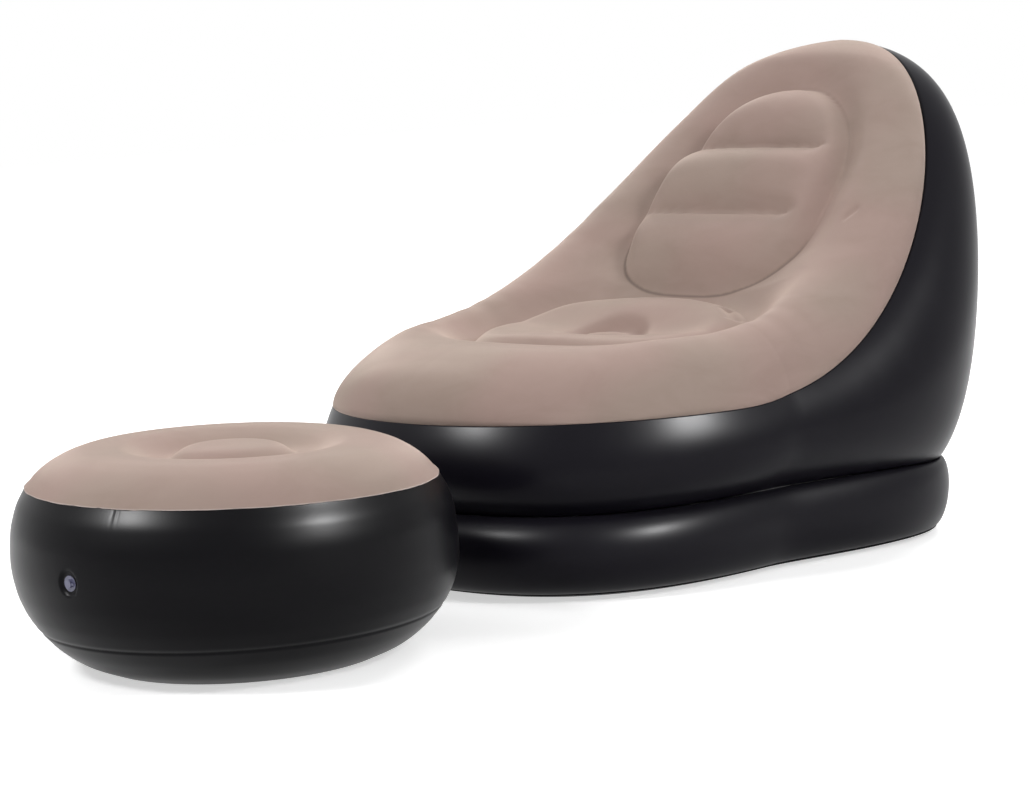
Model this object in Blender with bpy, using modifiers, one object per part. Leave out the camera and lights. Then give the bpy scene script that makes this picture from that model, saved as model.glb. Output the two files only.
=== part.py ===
# Inflatable lounge chair with a round footstool.
# Metres, +Z up. The chair faces -Y and its occupant's left is +X.
# The origin is on the floor, at the middle of the chair's bottom sheet.

import bmesh
import bpy
import numpy as np
from math import cos, pi, radians, sin, sqrt
from mathutils import Matrix, Vector

MM = 0.001

# Sheets
FLOCKED_SHEET = 0.53 * MM
SMOOTH_SHEET = 0.42 * MM
BEAM_SHEET = 0.40 * MM
SEAM_GAP = 0.4 * MM
WELD_DISTANCE = 0.02 * MM
BEAM_GAP = 0.3 * MM
BEAM_CLEARANCE = 3.0 * MM

# Chair: the egg-shaped seam between the top sheet and the side wall
SEAM_HALF_WIDTH = 396 * MM
SEAM_FRONT = 422 * MM
SEAM_REAR = 629 * MM
SEAM_FRONT_POWER = 2.09
SEAM_REAR_POWER = 1.94
SEAM_REAR_SPREAD_SHARE = 0.159
SEAM_FRONT_HEIGHT = 257 * MM
SEAM_TOP_HEIGHT = 766 * MM
SEAM_RISE_START = radians(75)
SEAM_RISE_END = radians(186)

# Chair: the waist crease above the base tube
WAIST_HALF_WIDTH = 354 * MM
WAIST_FRONT = 395 * MM
WAIST_REAR = 493 * MM
WAIST_POWER = 2.68
WAIST_REAR_SPREAD_SHARE = 0.470
WAIST_HEIGHT = 123 * MM

# Chair: side wall bulge, measured out from the straight line between waist and seam
LOWER_BULGE = 52 * MM
UPPER_BULGE = 66 * MM
REAR_OVERHANG = 114 * MM
REAR_LIFT = 61 * MM
SIDE_ANGLES = (0, radians(90), radians(135), pi)
BULGE_ANGLES = (0, radians(45), radians(90), radians(135), radians(160), pi)
LOWER_BULGE_SHARES = (0.53, 0.45, 0.71, 1.13, 0.973, 0.77)
UPPER_BULGE_SHARES = (0.37, 0.29, 0.47, 1.0)
REAR_BULGE_SHARE = 0.83

# Chair: base tube and bottom sheet
TUBE_BULGE = 44 * MM
TUBE_BULGE_SHARES = (1.0, 1.0, 0.9, 0.42, 0.34, 0.34)
TUBE_POWER = 0.5
BOTTOM_INSET = 4 * MM
BOTTOM_INSET_SHARES = (1.0, 1.0, 1.0, 3.0, 3.0, 3.0)
BOTTOM_SEAM_HEIGHT = 9 * MM
BOTTOM_EDGE_WIDTH = 34 * MM
BOTTOM_EDGE_POWER = 2.5
BOTTOM_EDGE_SHARES = (0.0, 0.45, 0.75, 1.0)

# Chair: top sheet, its centre line as shares of the seam's reach and top height
CENTRE_REACH_SHARES = (
    -1.066, -0.806, -0.592, -0.355, -0.118, 0.048, 0.191, 0.286, 0.397, 0.517, 0.636, 0.755, 0.874, 1.049
)
CENTRE_HEIGHT_SHARES = (
    0.5295, 0.4693, 0.4615, 0.4516, 0.4214, 0.4107, 0.4634,
    0.4967, 0.5662, 0.6846, 0.7744, 0.8726, 0.9761, 1.0274
)
ARM_RISE = 64 * MM
ARM_RISE_REACH_SHARES = (-0.829, -0.521, -0.284, -0.071, 0.095, 0.238, 0.397, 0.556, 0.715, 0.986)
ARM_RISE_SHARES = (-0.525, 0.058, 0.448, 0.914, 1.011, 0.9375, 0.595, -0.069, -0.123, -0.073)
ARM_START_SHARE = 0.122
ARM_CREST_SHARE = 1.091
ROLL_WIDTH_FRONT = 155 * MM
ROLL_WIDTH_SIDE = 114 * MM
ROLL_WIDTH_QUARTER = 160 * MM
ROLL_WIDTH_REAR = 116 * MM
ROLL_POWER = 1.70
ROLL_RELIEF_SHARE = 0.7

# Seat pad
SEAT_PAD_CENTRE = 18 * MM
SEAT_PAD_HALF_WIDTH = 234 * MM
SEAT_PAD_HALF_LENGTH = 164 * MM
SEAT_PAD_CROWN = 14 * MM
DIMPLE_RADIUS = 52 * MM
DIMPLE_WIDTH = 26 * MM
DIMPLE_DEPTH = 15 * MM
DIMPLE_CENTRE_DROP = 2 * MM

# Back pad
BACK_PAD_BOTTOM = 194 * MM
BACK_PAD_TOP = 492 * MM
BACK_PAD_HALF_WIDTH = 189 * MM
BACK_PAD_POWER = 2.6
BACK_PAD_TAPER_SHARE = 0.18
BACK_PAD_CROWN = 14 * MM
LOWER_CREASE = 305 * MM
UPPER_CREASE = 406 * MM
CREASE_DEPTH = 13 * MM
CREASE_WIDTH = 15 * MM
GROOVE_DEPTH = 13 * MM
GROOVE_WIDTH = 14 * MM
PAD_EDGE_SHARE = 0.25

# Footstool
STOOL_X = 112 * MM
STOOL_Y = -816 * MM
STOOL_FOOT_RADIUS = 194 * MM
STOOL_FOOT_REACH_SHARES = (0.0, 0.39, 0.72, 1.0)
STOOL_FOOT_RISE_SHARES = (0.0, 0.237, 0.576, 1.0)
STOOL_LOWER_SEAM_RADIUS = 277 * MM
STOOL_LOWER_SEAM_HEIGHT = 59 * MM
STOOL_UPPER_SEAM_RADIUS = 281 * MM
STOOL_UPPER_SEAM_HEIGHT = 242 * MM
STOOL_BULGE = 29 * MM
STOOL_BULGE_RISE_SHARES = (0.0, 0.150, 0.317, 0.495, 0.676, 0.849, 1.0)
STOOL_BULGE_SHARES = (0.0, 0.533, 0.873, 1.0, 0.904, 0.574, 0.0)
STOOL_CREST_RADIUS = 174 * MM
STOOL_CREST_HEIGHT = 288.5 * MM
STOOL_ROLL_REACH_SHARES = (0.0, 0.242, 0.479, 0.673, 0.852, 1.0)
STOOL_ROLL_RISE_SHARES = (1.0, 0.972, 0.837, 0.631, 0.350, 0.0)
STOOL_GROOVE_RADIUS = 92 * MM
STOOL_GROOVE_DEPTH = 20 * MM
STOOL_GROOVE_WIDTH = 30 * MM
STOOL_CENTRE_DROP = 3 * MM

# Tie sheets
STOOL_CENTRE_TIE_RADIUS = 32 * MM
TIE_END_MARGIN = 3.2 * MM
TIE_STEP_SHARES = (0.25, 0.5, 0.75, 1.0)
AIR_HOLE_RADIUS = 28 * MM
AIR_HOLE_REACH = 320 * MM

# Chair valve, in the rear wall
VALVE_SEAT_GAP = 0.9 * MM
FLANGE_RADIUS = 17 * MM
FLANGE_THICKNESS = 1.0 * MM
NECK_RADIUS = 12 * MM
NECK_RISE = 4.5 * MM
NECK_BORE_RADIUS = 9 * MM
NECK_HOLE_CLEARANCE = 0.5 * MM
PLUG_CLEARANCE = 0.4 * MM
PLUG_LENGTH = 8 * MM
PLUG_HEAD_RADIUS = 14.5 * MM
PLUG_HEAD_THICKNESS = 3.5 * MM
PLUG_GRIP_DEPTH = 0.8 * MM
PLUG_GRIPS = 12
PLUG_BORE_RADIUS = 4.3 * MM
CAP_CLEARANCE = 0.35 * MM
CAP_RADIUS = 6.5 * MM
CAP_THICKNESS = 1.4 * MM
CAP_STEM_LENGTH = 2.4 * MM
CAP_HINGE_RADIUS = 11 * MM
CAP_STRAP_WIDTH = 4 * MM
CAP_STRAP_THICKNESS = 0.8 * MM
FLAP_RADIUS = 6.6 * MM
FLAP_THICKNESS = 0.6 * MM
PART_GAP = 0.35 * MM

# Footstool valve, in the front of the wall
STOOL_FLANGE_RADIUS = 10.5 * MM
STOOL_FLANGE_THICKNESS = 1.0 * MM
STEM_RADIUS = 5.6 * MM
STEM_BORE_RADIUS = 4.2 * MM
STEM_LENGTH = 16 * MM
STOPPER_CLEARANCE = 0.35 * MM
STOPPER_HEAD_RADIUS = 5.6 * MM
STOPPER_HEAD_THICKNESS = 1.6 * MM
STOPPER_STEM_LENGTH = 2.2 * MM
STOPPER_HINGE_RADIUS = 9.2 * MM
STOPPER_STRAP_WIDTH = 3 * MM
STOPPER_STRAP_THICKNESS = 0.8 * MM
STOOL_FLAP_THICKNESS = 0.6 * MM
STOOL_VALVE_ANGLE = radians(-84)
CUT_OVERRUN = 4 * MM

# Facets. The shares place rows and columns of corners.
FRONT_ANGLES = (0, 7, 14, 22, 31, 41)
REAR_ANGLES = (150, 158, 166, 173, 180)
WALL_ROWS = 8
TUBE_ROWS = 5
STOOL_WALL_ROWS = 7
STOOL_SIDES = 40
ROUND_SIDES = 28
CENTRE_TIE_SIDES = 16
STRAIGHT_TIE_STEPS = 8
ROW_OFFSET_SHARE = 1.5
ROW_LEAST_SHARE = 0.002
COLUMN_LEAST_SHARE = 0.3
COLUMN_MOST_SHARE = 0.72
SHOULDER_SHARE = 1.2
SHOULDER_MOST_SHARE = 0.25
SIDE_COLUMN_SHARES = (0.0, 0.03, 0.12, 0.28, 0.58)
STOOL_ROLL_SHARES = (1.0, 0.9, 0.72, 0.48, 0.2)
ANGLE_STEP = 1e-4


def smoother(t):
    t = np.clip(t, 0.0, 1.0)
    return t * t * t * (10.0 - 15.0 * t + 6.0 * t * t)


def monotone(stations, values, at):
    """A smooth curve through the values that never overshoots them."""
    x, y = np.asarray(stations, float), np.asarray(values, float)
    at = np.clip(np.asarray(at, float), x[0], x[-1])
    step = np.diff(x)
    rise = np.diff(y) / step
    slope = np.zeros(len(x))
    for i in range(1, len(x) - 1):
        if rise[i - 1] * rise[i] > 0:
            a, b = 2 * step[i] + step[i - 1], step[i] + 2 * step[i - 1]
            slope[i] = (a + b) / (a / rise[i - 1] + b / rise[i])
    slope[0], slope[-1] = rise[0], rise[-1]
    i = np.clip(np.searchsorted(x, at, side="right") - 1, 0, len(step) - 1)
    t = (at - x[i]) / step[i]
    return (
        y[i] * (1 + 2 * t) * (1 - t) ** 2
        + slope[i] * step[i] * t * (1 - t) ** 2
        + y[i + 1] * t * t * (3 - 2 * t)
        + slope[i + 1] * step[i] * t * t * (t - 1)
    )


# Plan outlines. The angle is 0 at the front, pi / 2 at +X and pi at the rear.

def outline(angle, half_width, front, rear, front_power, rear_power, spread):
    s, k = np.sin(angle), np.cos(angle)
    power = np.where(k > 0, front_power, rear_power)
    y = np.where(k > 0, -front, rear) * np.abs(k) ** (2 / power)
    x = half_width * np.sign(s) * np.abs(s) ** (2 / power) * (1 + spread * np.clip(-k, 0, 1))
    return x, y


def seam_plan(angle):
    return outline(
        angle, SEAM_HALF_WIDTH, SEAM_FRONT, SEAM_REAR, SEAM_FRONT_POWER, SEAM_REAR_POWER,
        SEAM_REAR_SPREAD_SHARE,
    )


def waist_plan(angle):
    return outline(
        angle, WAIST_HALF_WIDTH, WAIST_FRONT, WAIST_REAR, WAIST_POWER, WAIST_POWER,
        WAIST_REAR_SPREAD_SHARE,
    )


def outward(plan, angle):
    x1, y1 = plan(angle + ANGLE_STEP)
    x0, y0 = plan(angle - ANGLE_STEP)
    length = np.hypot(x1 - x0, y1 - y0)
    return (y1 - y0) / length, -(x1 - x0) / length


def turn(angle):
    """How far round from the front an angle is, on either side."""
    return np.abs((angle + pi) % (2 * pi) - pi)


def seam_height(angle):
    rise = smoother((turn(angle) - SEAM_RISE_START) / (SEAM_RISE_END - SEAM_RISE_START))
    end = smoother((pi - SEAM_RISE_START) / (SEAM_RISE_END - SEAM_RISE_START))
    return SEAM_FRONT_HEIGHT + (SEAM_TOP_HEIGHT - SEAM_FRONT_HEIGHT) * rise / end


def wall_point(angle, t):
    """The side wall at a share t of the way from the waist up to the seam."""
    sx, sy = seam_plan(angle)
    sz = seam_height(angle)
    nx, ny = outward(seam_plan, angle)
    wx, wy = waist_plan(angle)
    low = LOWER_BULGE * monotone(BULGE_ANGLES, LOWER_BULGE_SHARES, turn(angle))
    high = monotone(
        BULGE_ANGLES,
        [UPPER_BULGE * share for share in UPPER_BULGE_SHARES]
        + [REAR_OVERHANG * REAR_BULGE_SHARE, REAR_OVERHANG],
        turn(angle),
    )
    lift = REAR_LIFT * smoother((turn(angle) - SEAM_RISE_START) / (pi - SEAM_RISE_START))
    stations = []
    for share, out, up in ((0, 0, 0), (1 / 3, low, 0), (2 / 3, high, lift), (1, 0, 0)):
        stations.append(
            (
                wx * (1 - share) + sx * share + nx * out,
                wy * (1 - share) + sy * share + ny * out,
                WAIST_HEIGHT * (1 - share) + sz * share + up,
            )
        )
    a, b, c = t - 1 / 3, t - 2 / 3, t - 1
    weights = (-4.5 * a * b * c, 13.5 * t * b * c, -13.5 * t * a * c, 4.5 * t * a * b)
    return np.array([sum(w * p[i] for w, p in zip(weights, stations)) for i in range(3)])


def tube_point(angle, t):
    """The base tube at a share t of the way from the bottom seam up to the waist."""
    wx, wy = waist_plan(angle)
    nx, ny = outward(waist_plan, angle)
    out = TUBE_BULGE * monotone(BULGE_ANGLES, TUBE_BULGE_SHARES, turn(angle)) * (4 * t * (1 - t)) ** TUBE_POWER
    out = out - BOTTOM_INSET * monotone(BULGE_ANGLES, BOTTOM_INSET_SHARES, turn(angle)) * (1 - t)
    height = BOTTOM_SEAM_HEIGHT + (WAIST_HEIGHT - BOTTOM_SEAM_HEIGHT) * t
    return np.array([wx + nx * out, wy + ny * out, height])


def half_width_at(y):
    """Half the seam's width at y, and the angle of that point of the seam."""
    reach = np.where(y < 0, SEAM_FRONT, SEAM_REAR)
    power = np.where(y < 0, SEAM_FRONT_POWER, SEAM_REAR_POWER)
    k = np.clip(np.abs(y) / reach, 0, 1) ** (power / 2)
    angle = np.where(y < 0, np.arccos(k), pi - np.arccos(k))
    return seam_plan(angle)[0], angle


def egg_place(x, y):
    """How far out a plan point is, 1 at the seam, and its angle on the outline."""
    x, y = np.abs(np.asarray(x, float)), np.asarray(y, float)
    low, high = np.full(np.shape(x), 1e-6), np.full(np.shape(x), 1.0)
    reach = np.where(y < 0, SEAM_FRONT, SEAM_REAR)
    for _ in range(30):
        middle = (low + high) / 2
        inside = (x < middle * half_width_at(y / middle)[0]) & (np.abs(y) < middle * reach)
        high = np.where(inside, middle, high)
        low = np.where(inside, low, middle)
    return high, half_width_at(y / high)[1]


def reach_of(share):
    return share * (SEAM_FRONT if share < 0 else SEAM_REAR)


def seat_pad_place(x, y):
    """0 at the seat pad's centre and 1 at its groove."""
    return np.hypot(x / SEAT_PAD_HALF_WIDTH, (y - SEAT_PAD_CENTRE) / SEAT_PAD_HALF_LENGTH)


def back_pad_place(x, y):
    """0 at the back pad's centre and 1 at its groove."""
    middle, half = (BACK_PAD_TOP + BACK_PAD_BOTTOM) / 2, (BACK_PAD_TOP - BACK_PAD_BOTTOM) / 2
    along = (y - middle) / half
    width = BACK_PAD_HALF_WIDTH * (1 - BACK_PAD_TAPER_SHARE * np.clip(along, -1, 1))
    return (np.abs(x / width) ** BACK_PAD_POWER + np.abs(along) ** BACK_PAD_POWER) ** (
        1 / BACK_PAD_POWER
    )


def bump(distance, width):
    return np.exp(-((distance / width) ** 2))


def pad_relief(x, y):
    """What the pads, their grooves, the creases and the dimple add to the top sheet."""
    seat, back = seat_pad_place(x, y), back_pad_place(x, y)
    z = -GROOVE_DEPTH * np.maximum(
        bump((seat - 1) * SEAT_PAD_HALF_LENGTH, GROOVE_WIDTH),
        bump((back - 1) * BACK_PAD_HALF_WIDTH, GROOVE_WIDTH),
    )
    z = z + SEAT_PAD_CROWN * np.sqrt(np.clip(1 - seat * seat, 0, 1))
    middle = np.hypot(x, y - SEAT_PAD_CENTRE)
    z = z - DIMPLE_DEPTH * bump(middle - DIMPLE_RADIUS, DIMPLE_WIDTH)
    z = z - DIMPLE_CENTRE_DROP * smoother(1 - middle / DIMPLE_RADIUS)
    inside = smoother((1 - back) / PAD_EDGE_SHARE)
    z = z + BACK_PAD_CROWN * np.sqrt(np.clip(1 - back * back, 0, 1))
    for crease in (LOWER_CREASE, UPPER_CREASE):
        z = z - CREASE_DEPTH * bump(y - crease, CREASE_WIDTH) * inside
    return z


def top_height(x, y):
    """The outer face of the top sheet."""
    x, y = np.asarray(x, float), np.asarray(y, float)
    out, angle = egg_place(x, y)
    ex, ey = seam_plan(angle)
    ez = seam_height(angle)
    centre = monotone(
        [reach_of(share) for share in CENTRE_REACH_SHARES],
        [SEAM_TOP_HEIGHT * share for share in CENTRE_HEIGHT_SHARES],
        y,
    )
    rise = ARM_RISE * monotone(
        [reach_of(share) for share in ARM_RISE_REACH_SHARES], ARM_RISE_SHARES, y
    )
    across = (np.abs(x) / SEAM_HALF_WIDTH - ARM_START_SHARE) / (ARM_CREST_SHARE - ARM_START_SHARE)
    inner = centre + rise * smoother(across)
    width = monotone(
        SIDE_ANGLES,
        (ROLL_WIDTH_FRONT, ROLL_WIDTH_SIDE, ROLL_WIDTH_QUARTER, ROLL_WIDTH_REAR),
        turn(angle),
    )
    t = np.clip((1 - out) * np.hypot(ex, ey) / width, 0, 1)
    roll = (1 - (1 - t) ** ROLL_POWER) ** (1 / ROLL_POWER)
    return ez + (inner - ez) * roll + pad_relief(x, y) * smoother(t / ROLL_RELIEF_SHARE)


def pad_half_width(y):
    """Half the width of whichever pad lies at y, and 0 between and beyond them."""
    along = abs(y - SEAT_PAD_CENTRE) / SEAT_PAD_HALF_LENGTH
    seat = SEAT_PAD_HALF_WIDTH * sqrt(max(1 - along * along, 0))
    middle, half = (BACK_PAD_TOP + BACK_PAD_BOTTOM) / 2, (BACK_PAD_TOP - BACK_PAD_BOTTOM) / 2
    along = (y - middle) / half
    back = 0.0
    if abs(along) < 1:
        back = (1 - abs(along) ** BACK_PAD_POWER) ** (1 / BACK_PAD_POWER)
        back *= BACK_PAD_HALF_WIDTH * (1 - BACK_PAD_TAPER_SHARE * along)
    return max(seat, back)


def panel_rows():
    """The y of each row of the top panel: close at both ends, and on each groove and crease."""
    rows = [float(seam_plan(radians(angle))[1]) for angle in FRONT_ANGLES + REAR_ANGLES]
    seat_front = SEAT_PAD_CENTRE - SEAT_PAD_HALF_LENGTH
    seat_rear = SEAT_PAD_CENTRE + SEAT_PAD_HALF_LENGTH
    seat_step = DIMPLE_RADIUS * ROW_OFFSET_SHARE
    groove_step = GROOVE_WIDTH * ROW_OFFSET_SHARE
    crease_step = CREASE_WIDTH * ROW_OFFSET_SHARE
    rows += [seat_front, seat_front + groove_step, SEAT_PAD_CENTRE - seat_step]
    rows += [SEAT_PAD_CENTRE, SEAT_PAD_CENTRE + seat_step, seat_rear - groove_step]
    rows += [(seat_rear + BACK_PAD_BOTTOM) / 2, BACK_PAD_BOTTOM + groove_step]
    rows += [(BACK_PAD_BOTTOM + LOWER_CREASE) / 2, LOWER_CREASE - crease_step]
    rows += [LOWER_CREASE, LOWER_CREASE + crease_step, UPPER_CREASE - crease_step]
    rows += [UPPER_CREASE, UPPER_CREASE + crease_step, BACK_PAD_TOP]
    rows.sort()
    least = (SEAM_FRONT + SEAM_REAR) * ROW_LEAST_SHARE
    kept = rows[:1]
    for y in rows[1:]:
        if y - kept[-1] > least:
            kept.append(y)
    return kept


def panel_columns(y):
    """The x of each column at y, from the seam on the -X side to the one on the +X side."""
    edge = float(half_width_at(np.float64(y))[0])
    groove = min(max(pad_half_width(y), COLUMN_LEAST_SHARE * edge), COLUMN_MOST_SHARE * edge)
    shoulder = min(SHOULDER_SHARE * GROOVE_WIDTH, SHOULDER_MOST_SHARE * groove)
    outer = groove + shoulder
    side = [edge + (outer - edge) * share for share in SIDE_COLUMN_SHARES]
    side += [outer, groove, groove - shoulder, (groove - shoulder) / 2]
    return [-x for x in side] + [0.0] + side[::-1]


ROWS = panel_rows()
RIGHT_ANGLES = [float(half_width_at(np.float64(y))[1]) for y in ROWS]
RING_ANGLES = RIGHT_ANGLES + [-angle for angle in RIGHT_ANGLES[-2:0:-1]]


# Blender helpers

for old in list(bpy.data.objects):
    bpy.data.objects.remove(old, do_unlink=True)
for old in list(bpy.data.collections):
    bpy.data.collections.remove(old)

PARTS = bpy.data.collections.new("Inflatable lounge chair")
CUTTERS = bpy.data.collections.new("Cutters")
bpy.context.scene.collection.children.link(PARTS)
bpy.context.scene.collection.children.link(CUTTERS)


def material(name, colour, roughness, metallic=0.0):
    made = bpy.data.materials.new(name)
    made.use_nodes = True
    shader = made.node_tree.nodes["Principled BSDF"]
    shader.inputs["Base Color"].default_value = (*colour, 1.0)
    shader.inputs["Roughness"].default_value = roughness
    shader.inputs["Metallic"].default_value = metallic
    return made


FLOCKED = material("Taupe flocked vinyl", (0.37, 0.28, 0.25), 0.95)
DARK = material("Dark smooth vinyl", (0.018, 0.017, 0.020), 0.38)
INNER = material("Grey tie sheet", (0.22, 0.22, 0.23), 0.55)
VALVE = material("Valve plastic", (0.06, 0.06, 0.07), 0.45)
CLEAR = material("Clear valve plastic", (0.55, 0.60, 0.68), 0.25)


def add(name, mesh, surface, parent=None, collection=PARTS):
    made = bpy.data.objects.new(name, mesh)
    made.data.materials.append(surface)
    collection.objects.link(made)
    made.parent = parent
    return made


def grid_sheet(name, lines, surface, thickness, wrap, parent=None, flip=False, cap=None):
    """A sheet of real thickness from a grid whose lines are moved to the given points.

    The faces turn outwards and the thickness goes inwards. With wrap the lines are rings.
    Points that meet, as at a pole or where a ring closes, become one. cap fills the first ring.
    """
    across = len(lines[0]) + (1 if wrap else 0)
    bm = bmesh.new()
    made = bmesh.ops.create_grid(bm, x_segments=across - 1, y_segments=len(lines) - 1, size=1.0)
    corners = sorted(made["verts"], key=lambda v: (round(v.co.y, 5), round(v.co.x, 5)))
    for row, line in enumerate(lines):
        for column in range(across):
            corners[row * across + column].co = Vector(line[column % len(line)])
    bmesh.ops.remove_doubles(bm, verts=bm.verts, dist=WELD_DISTANCE)
    if cap is not None:
        loop = [edge for edge in bm.edges if edge.is_boundary and edge_on(edge, cap)]
        bmesh.ops.contextual_create(bm, geom=loop)
        bmesh.ops.recalc_face_normals(bm, faces=bm.faces)
    if flip:
        bmesh.ops.reverse_faces(bm, faces=bm.faces)
    mesh = bpy.data.meshes.new(name)
    bm.to_mesh(mesh)
    bm.free()
    sheet = add(name, mesh, surface, parent)
    solid = sheet.modifiers.new("Sheet", "SOLIDIFY")
    solid.thickness = thickness
    solid.offset = -1.0
    solid.use_even_offset = True
    mesh.shade_smooth()
    mesh.set_sharp_from_angle(angle=radians(50))
    return sheet


def edge_on(edge, height):
    return all(abs(corner.co.z - height) < WELD_DISTANCE for corner in edge.verts)


def ring_line(place, angles=RING_ANGLES):
    return [tuple(float(c) for c in place(angle)) for angle in angles]


def turned(name, profile, surface, parent=None, sides=ROUND_SIDES, collection=PARTS):
    """A solid turned about local Z. The closed profile is (radius, height) pairs, outer side down."""
    bm = bmesh.new()
    corners = [bm.verts.new((r, 0.0, z)) for r, z in profile]
    for i in range(len(corners)):
        a, b = corners[i], corners[(i + 1) % len(corners)]
        if a.co.x > 0 or b.co.x > 0:
            bm.edges.new((a, b))
    mesh = bpy.data.meshes.new(name)
    bm.to_mesh(mesh)
    bm.free()
    made = add(name, mesh, surface, parent, collection)
    screw = made.modifiers.new("Turn", "SCREW")
    screw.angle = 2 * pi
    screw.steps = sides
    screw.render_steps = sides
    screw.axis = "Z"
    screw.use_merge_vertices = True
    screw.merge_threshold = WELD_DISTANCE
    return made


def cylinder(name, radius, low, high, surface, parent=None, collection=PARTS, x=0.0):
    """A cylinder along local Z, its middle at the given x."""
    bm = bmesh.new()
    bmesh.ops.create_cone(
        bm, cap_ends=True, segments=ROUND_SIDES, radius1=radius, radius2=radius,
        depth=high - low, matrix=Matrix.Translation((x, 0, (low + high) / 2)),
    )
    mesh = bpy.data.meshes.new(name)
    bm.to_mesh(mesh)
    bm.free()
    return add(name, mesh, surface, parent, collection)


def as_cutter(made):
    made.hide_render = True
    made.display_type = "WIRE"
    return made


def rod(name, radius, low, high, parent=None, surface=INNER):
    """A cutter: a cylinder along local Z."""
    return as_cutter(cylinder(name, radius, low, high, surface, parent, CUTTERS))


def boolean(target, tool, operation="DIFFERENCE"):
    made = target.modifiers.new(operation.title(), "BOOLEAN")
    made.operation = operation
    made.object = tool
    made.solver = "EXACT"
    return made


def empty(name, location, parent=None):
    made = bpy.data.objects.new(name, None)
    made.location = location
    made.parent = parent
    PARTS.objects.link(made)
    return made


def seat_frame(name, corners):
    """An empty on the middle of a facet, its Z along the facet's outward normal."""
    corners = [Vector(corner) for corner in corners]
    middle = sum(corners, Vector()) / 4
    normal = (corners[2] - corners[0]).cross(corners[3] - corners[1]).normalized()
    across = Vector((0, 0, 1)).cross(normal).normalized()
    up = normal.cross(across)
    frame = empty(name, (0, 0, 0))
    turned_to = Matrix((across, up, normal)).transposed().to_4x4()
    frame.matrix_world = Matrix.Translation(middle) @ turned_to
    return frame


# Chair sheets

chair = empty("Chair", (0, 0, 0))

panel_lines = []
for y in ROWS:
    xs = np.array(panel_columns(y))
    zs = top_height(xs, np.full(len(xs), y))
    panel_lines.append([(float(x), y, float(z)) for x, z in zip(xs, zs)])
grid_sheet("chair_top_panel", panel_lines, FLOCKED, FLOCKED_SHEET, False, chair)


def wall_share(angle, row):
    """Wall rows, kept a gap short of the top panel and of the waist sheet."""
    height = float(seam_height(angle)) - WAIST_HEIGHT
    low = (BEAM_SHEET + SEAM_GAP) / height
    high = 1 - SEAM_GAP / height
    return low + (high - low) * row / WALL_ROWS


wall_lines = [
    ring_line(lambda angle, row=row: wall_point(angle, wall_share(angle, row)))
    for row in range(WALL_ROWS + 1)
]
wall = grid_sheet("chair_side_wall", wall_lines, DARK, SMOOTH_SHEET, True, chair)

tube_rise = WAIST_HEIGHT - BOTTOM_SEAM_HEIGHT


def tube_wall_point(angle, t):
    """The base wall, kept a gap short of the waist sheet and of the bottom sheet."""
    x, y, _ = tube_point(angle, t)
    return x, y, BOTTOM_SEAM_HEIGHT + SEAM_GAP + (tube_rise - 2 * SEAM_GAP) * t


tube_lines = [
    ring_line(
        lambda angle, row=row: tube_wall_point(angle, (1 - cos(pi * row / TUBE_ROWS)) / 2)
    )
    for row in range(TUBE_ROWS + 1)
]
grid_sheet("chair_base_wall", tube_lines, DARK, SMOOTH_SHEET, True, chair)


def bottom_edge_point(angle, share):
    """The turned-up edge of the bottom sheet, from the flat at share 0 to the seam at 1."""
    end = tube_point(angle, 0.0)
    nx, ny = outward(waist_plan, angle)
    back = BOTTOM_EDGE_WIDTH * (1 - share)
    return (end[0] - nx * back, end[1] - ny * back, BOTTOM_SEAM_HEIGHT * share**BOTTOM_EDGE_POWER)


bottom_lines = [
    ring_line(lambda angle, share=share: bottom_edge_point(angle, share))
    for share in BOTTOM_EDGE_SHARES
]
grid_sheet("chair_bottom_sheet", bottom_lines, DARK, SMOOTH_SHEET, True, chair, cap=0.0)


def flat_sheet(name, points, surface, thickness, height, parent=None):
    """A flat sheet of real thickness, lying on the given height."""
    curve = bpy.data.curves.new(name, "CURVE")
    curve.dimensions = "2D"
    curve.fill_mode = "BOTH"
    curve.extrude = thickness / 2
    spline = curve.splines.new("POLY")
    spline.points.add(len(points) - 1)
    for point, place in zip(spline.points, points):
        point.co = (place[0], place[1], 0.0, 1.0)
    spline.use_cyclic_u = True
    drawn = bpy.data.objects.new(name + "_outline", curve)
    PARTS.objects.link(drawn)
    bpy.context.view_layer.update()
    ready = drawn.evaluated_get(bpy.context.evaluated_depsgraph_get())
    mesh = bpy.data.meshes.new_from_object(ready)
    bpy.data.objects.remove(drawn, do_unlink=True)
    mesh.materials.clear()
    bm = bmesh.new()
    bm.from_mesh(mesh)
    bmesh.ops.remove_doubles(bm, verts=bm.verts, dist=WELD_DISTANCE)
    bmesh.ops.recalc_face_normals(bm, faces=bm.faces)
    bm.to_mesh(mesh)
    bm.free()
    made = add(name, mesh, surface, parent)
    made.location = (0, 0, height + thickness / 2)
    return made


waist_sheet = flat_sheet(
    "chair_waist_diaphragm", ring_line(lambda a: (*waist_plan(a), 0.0)), INNER, BEAM_SHEET,
    WAIST_HEIGHT, chair,
)
for index, (x, y) in enumerate(((-1, 0), (1, 0), (0, -1), (0, 1))):
    hole = rod("waist_air_hole_%d" % (index + 1), AIR_HOLE_RADIUS, -CUT_OVERRUN, CUT_OVERRUN, chair)
    hole.location = (
        x * AIR_HOLE_REACH * WAIST_HALF_WIDTH / WAIST_FRONT, y * AIR_HOLE_REACH, WAIST_HEIGHT
    )
    boolean(waist_sheet, hole)

# Chair tie sheets. They stand on the waist sheet and end just under the top panel.

TIE_FOOT = WAIST_HEIGHT + BEAM_SHEET + BEAM_GAP


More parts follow.
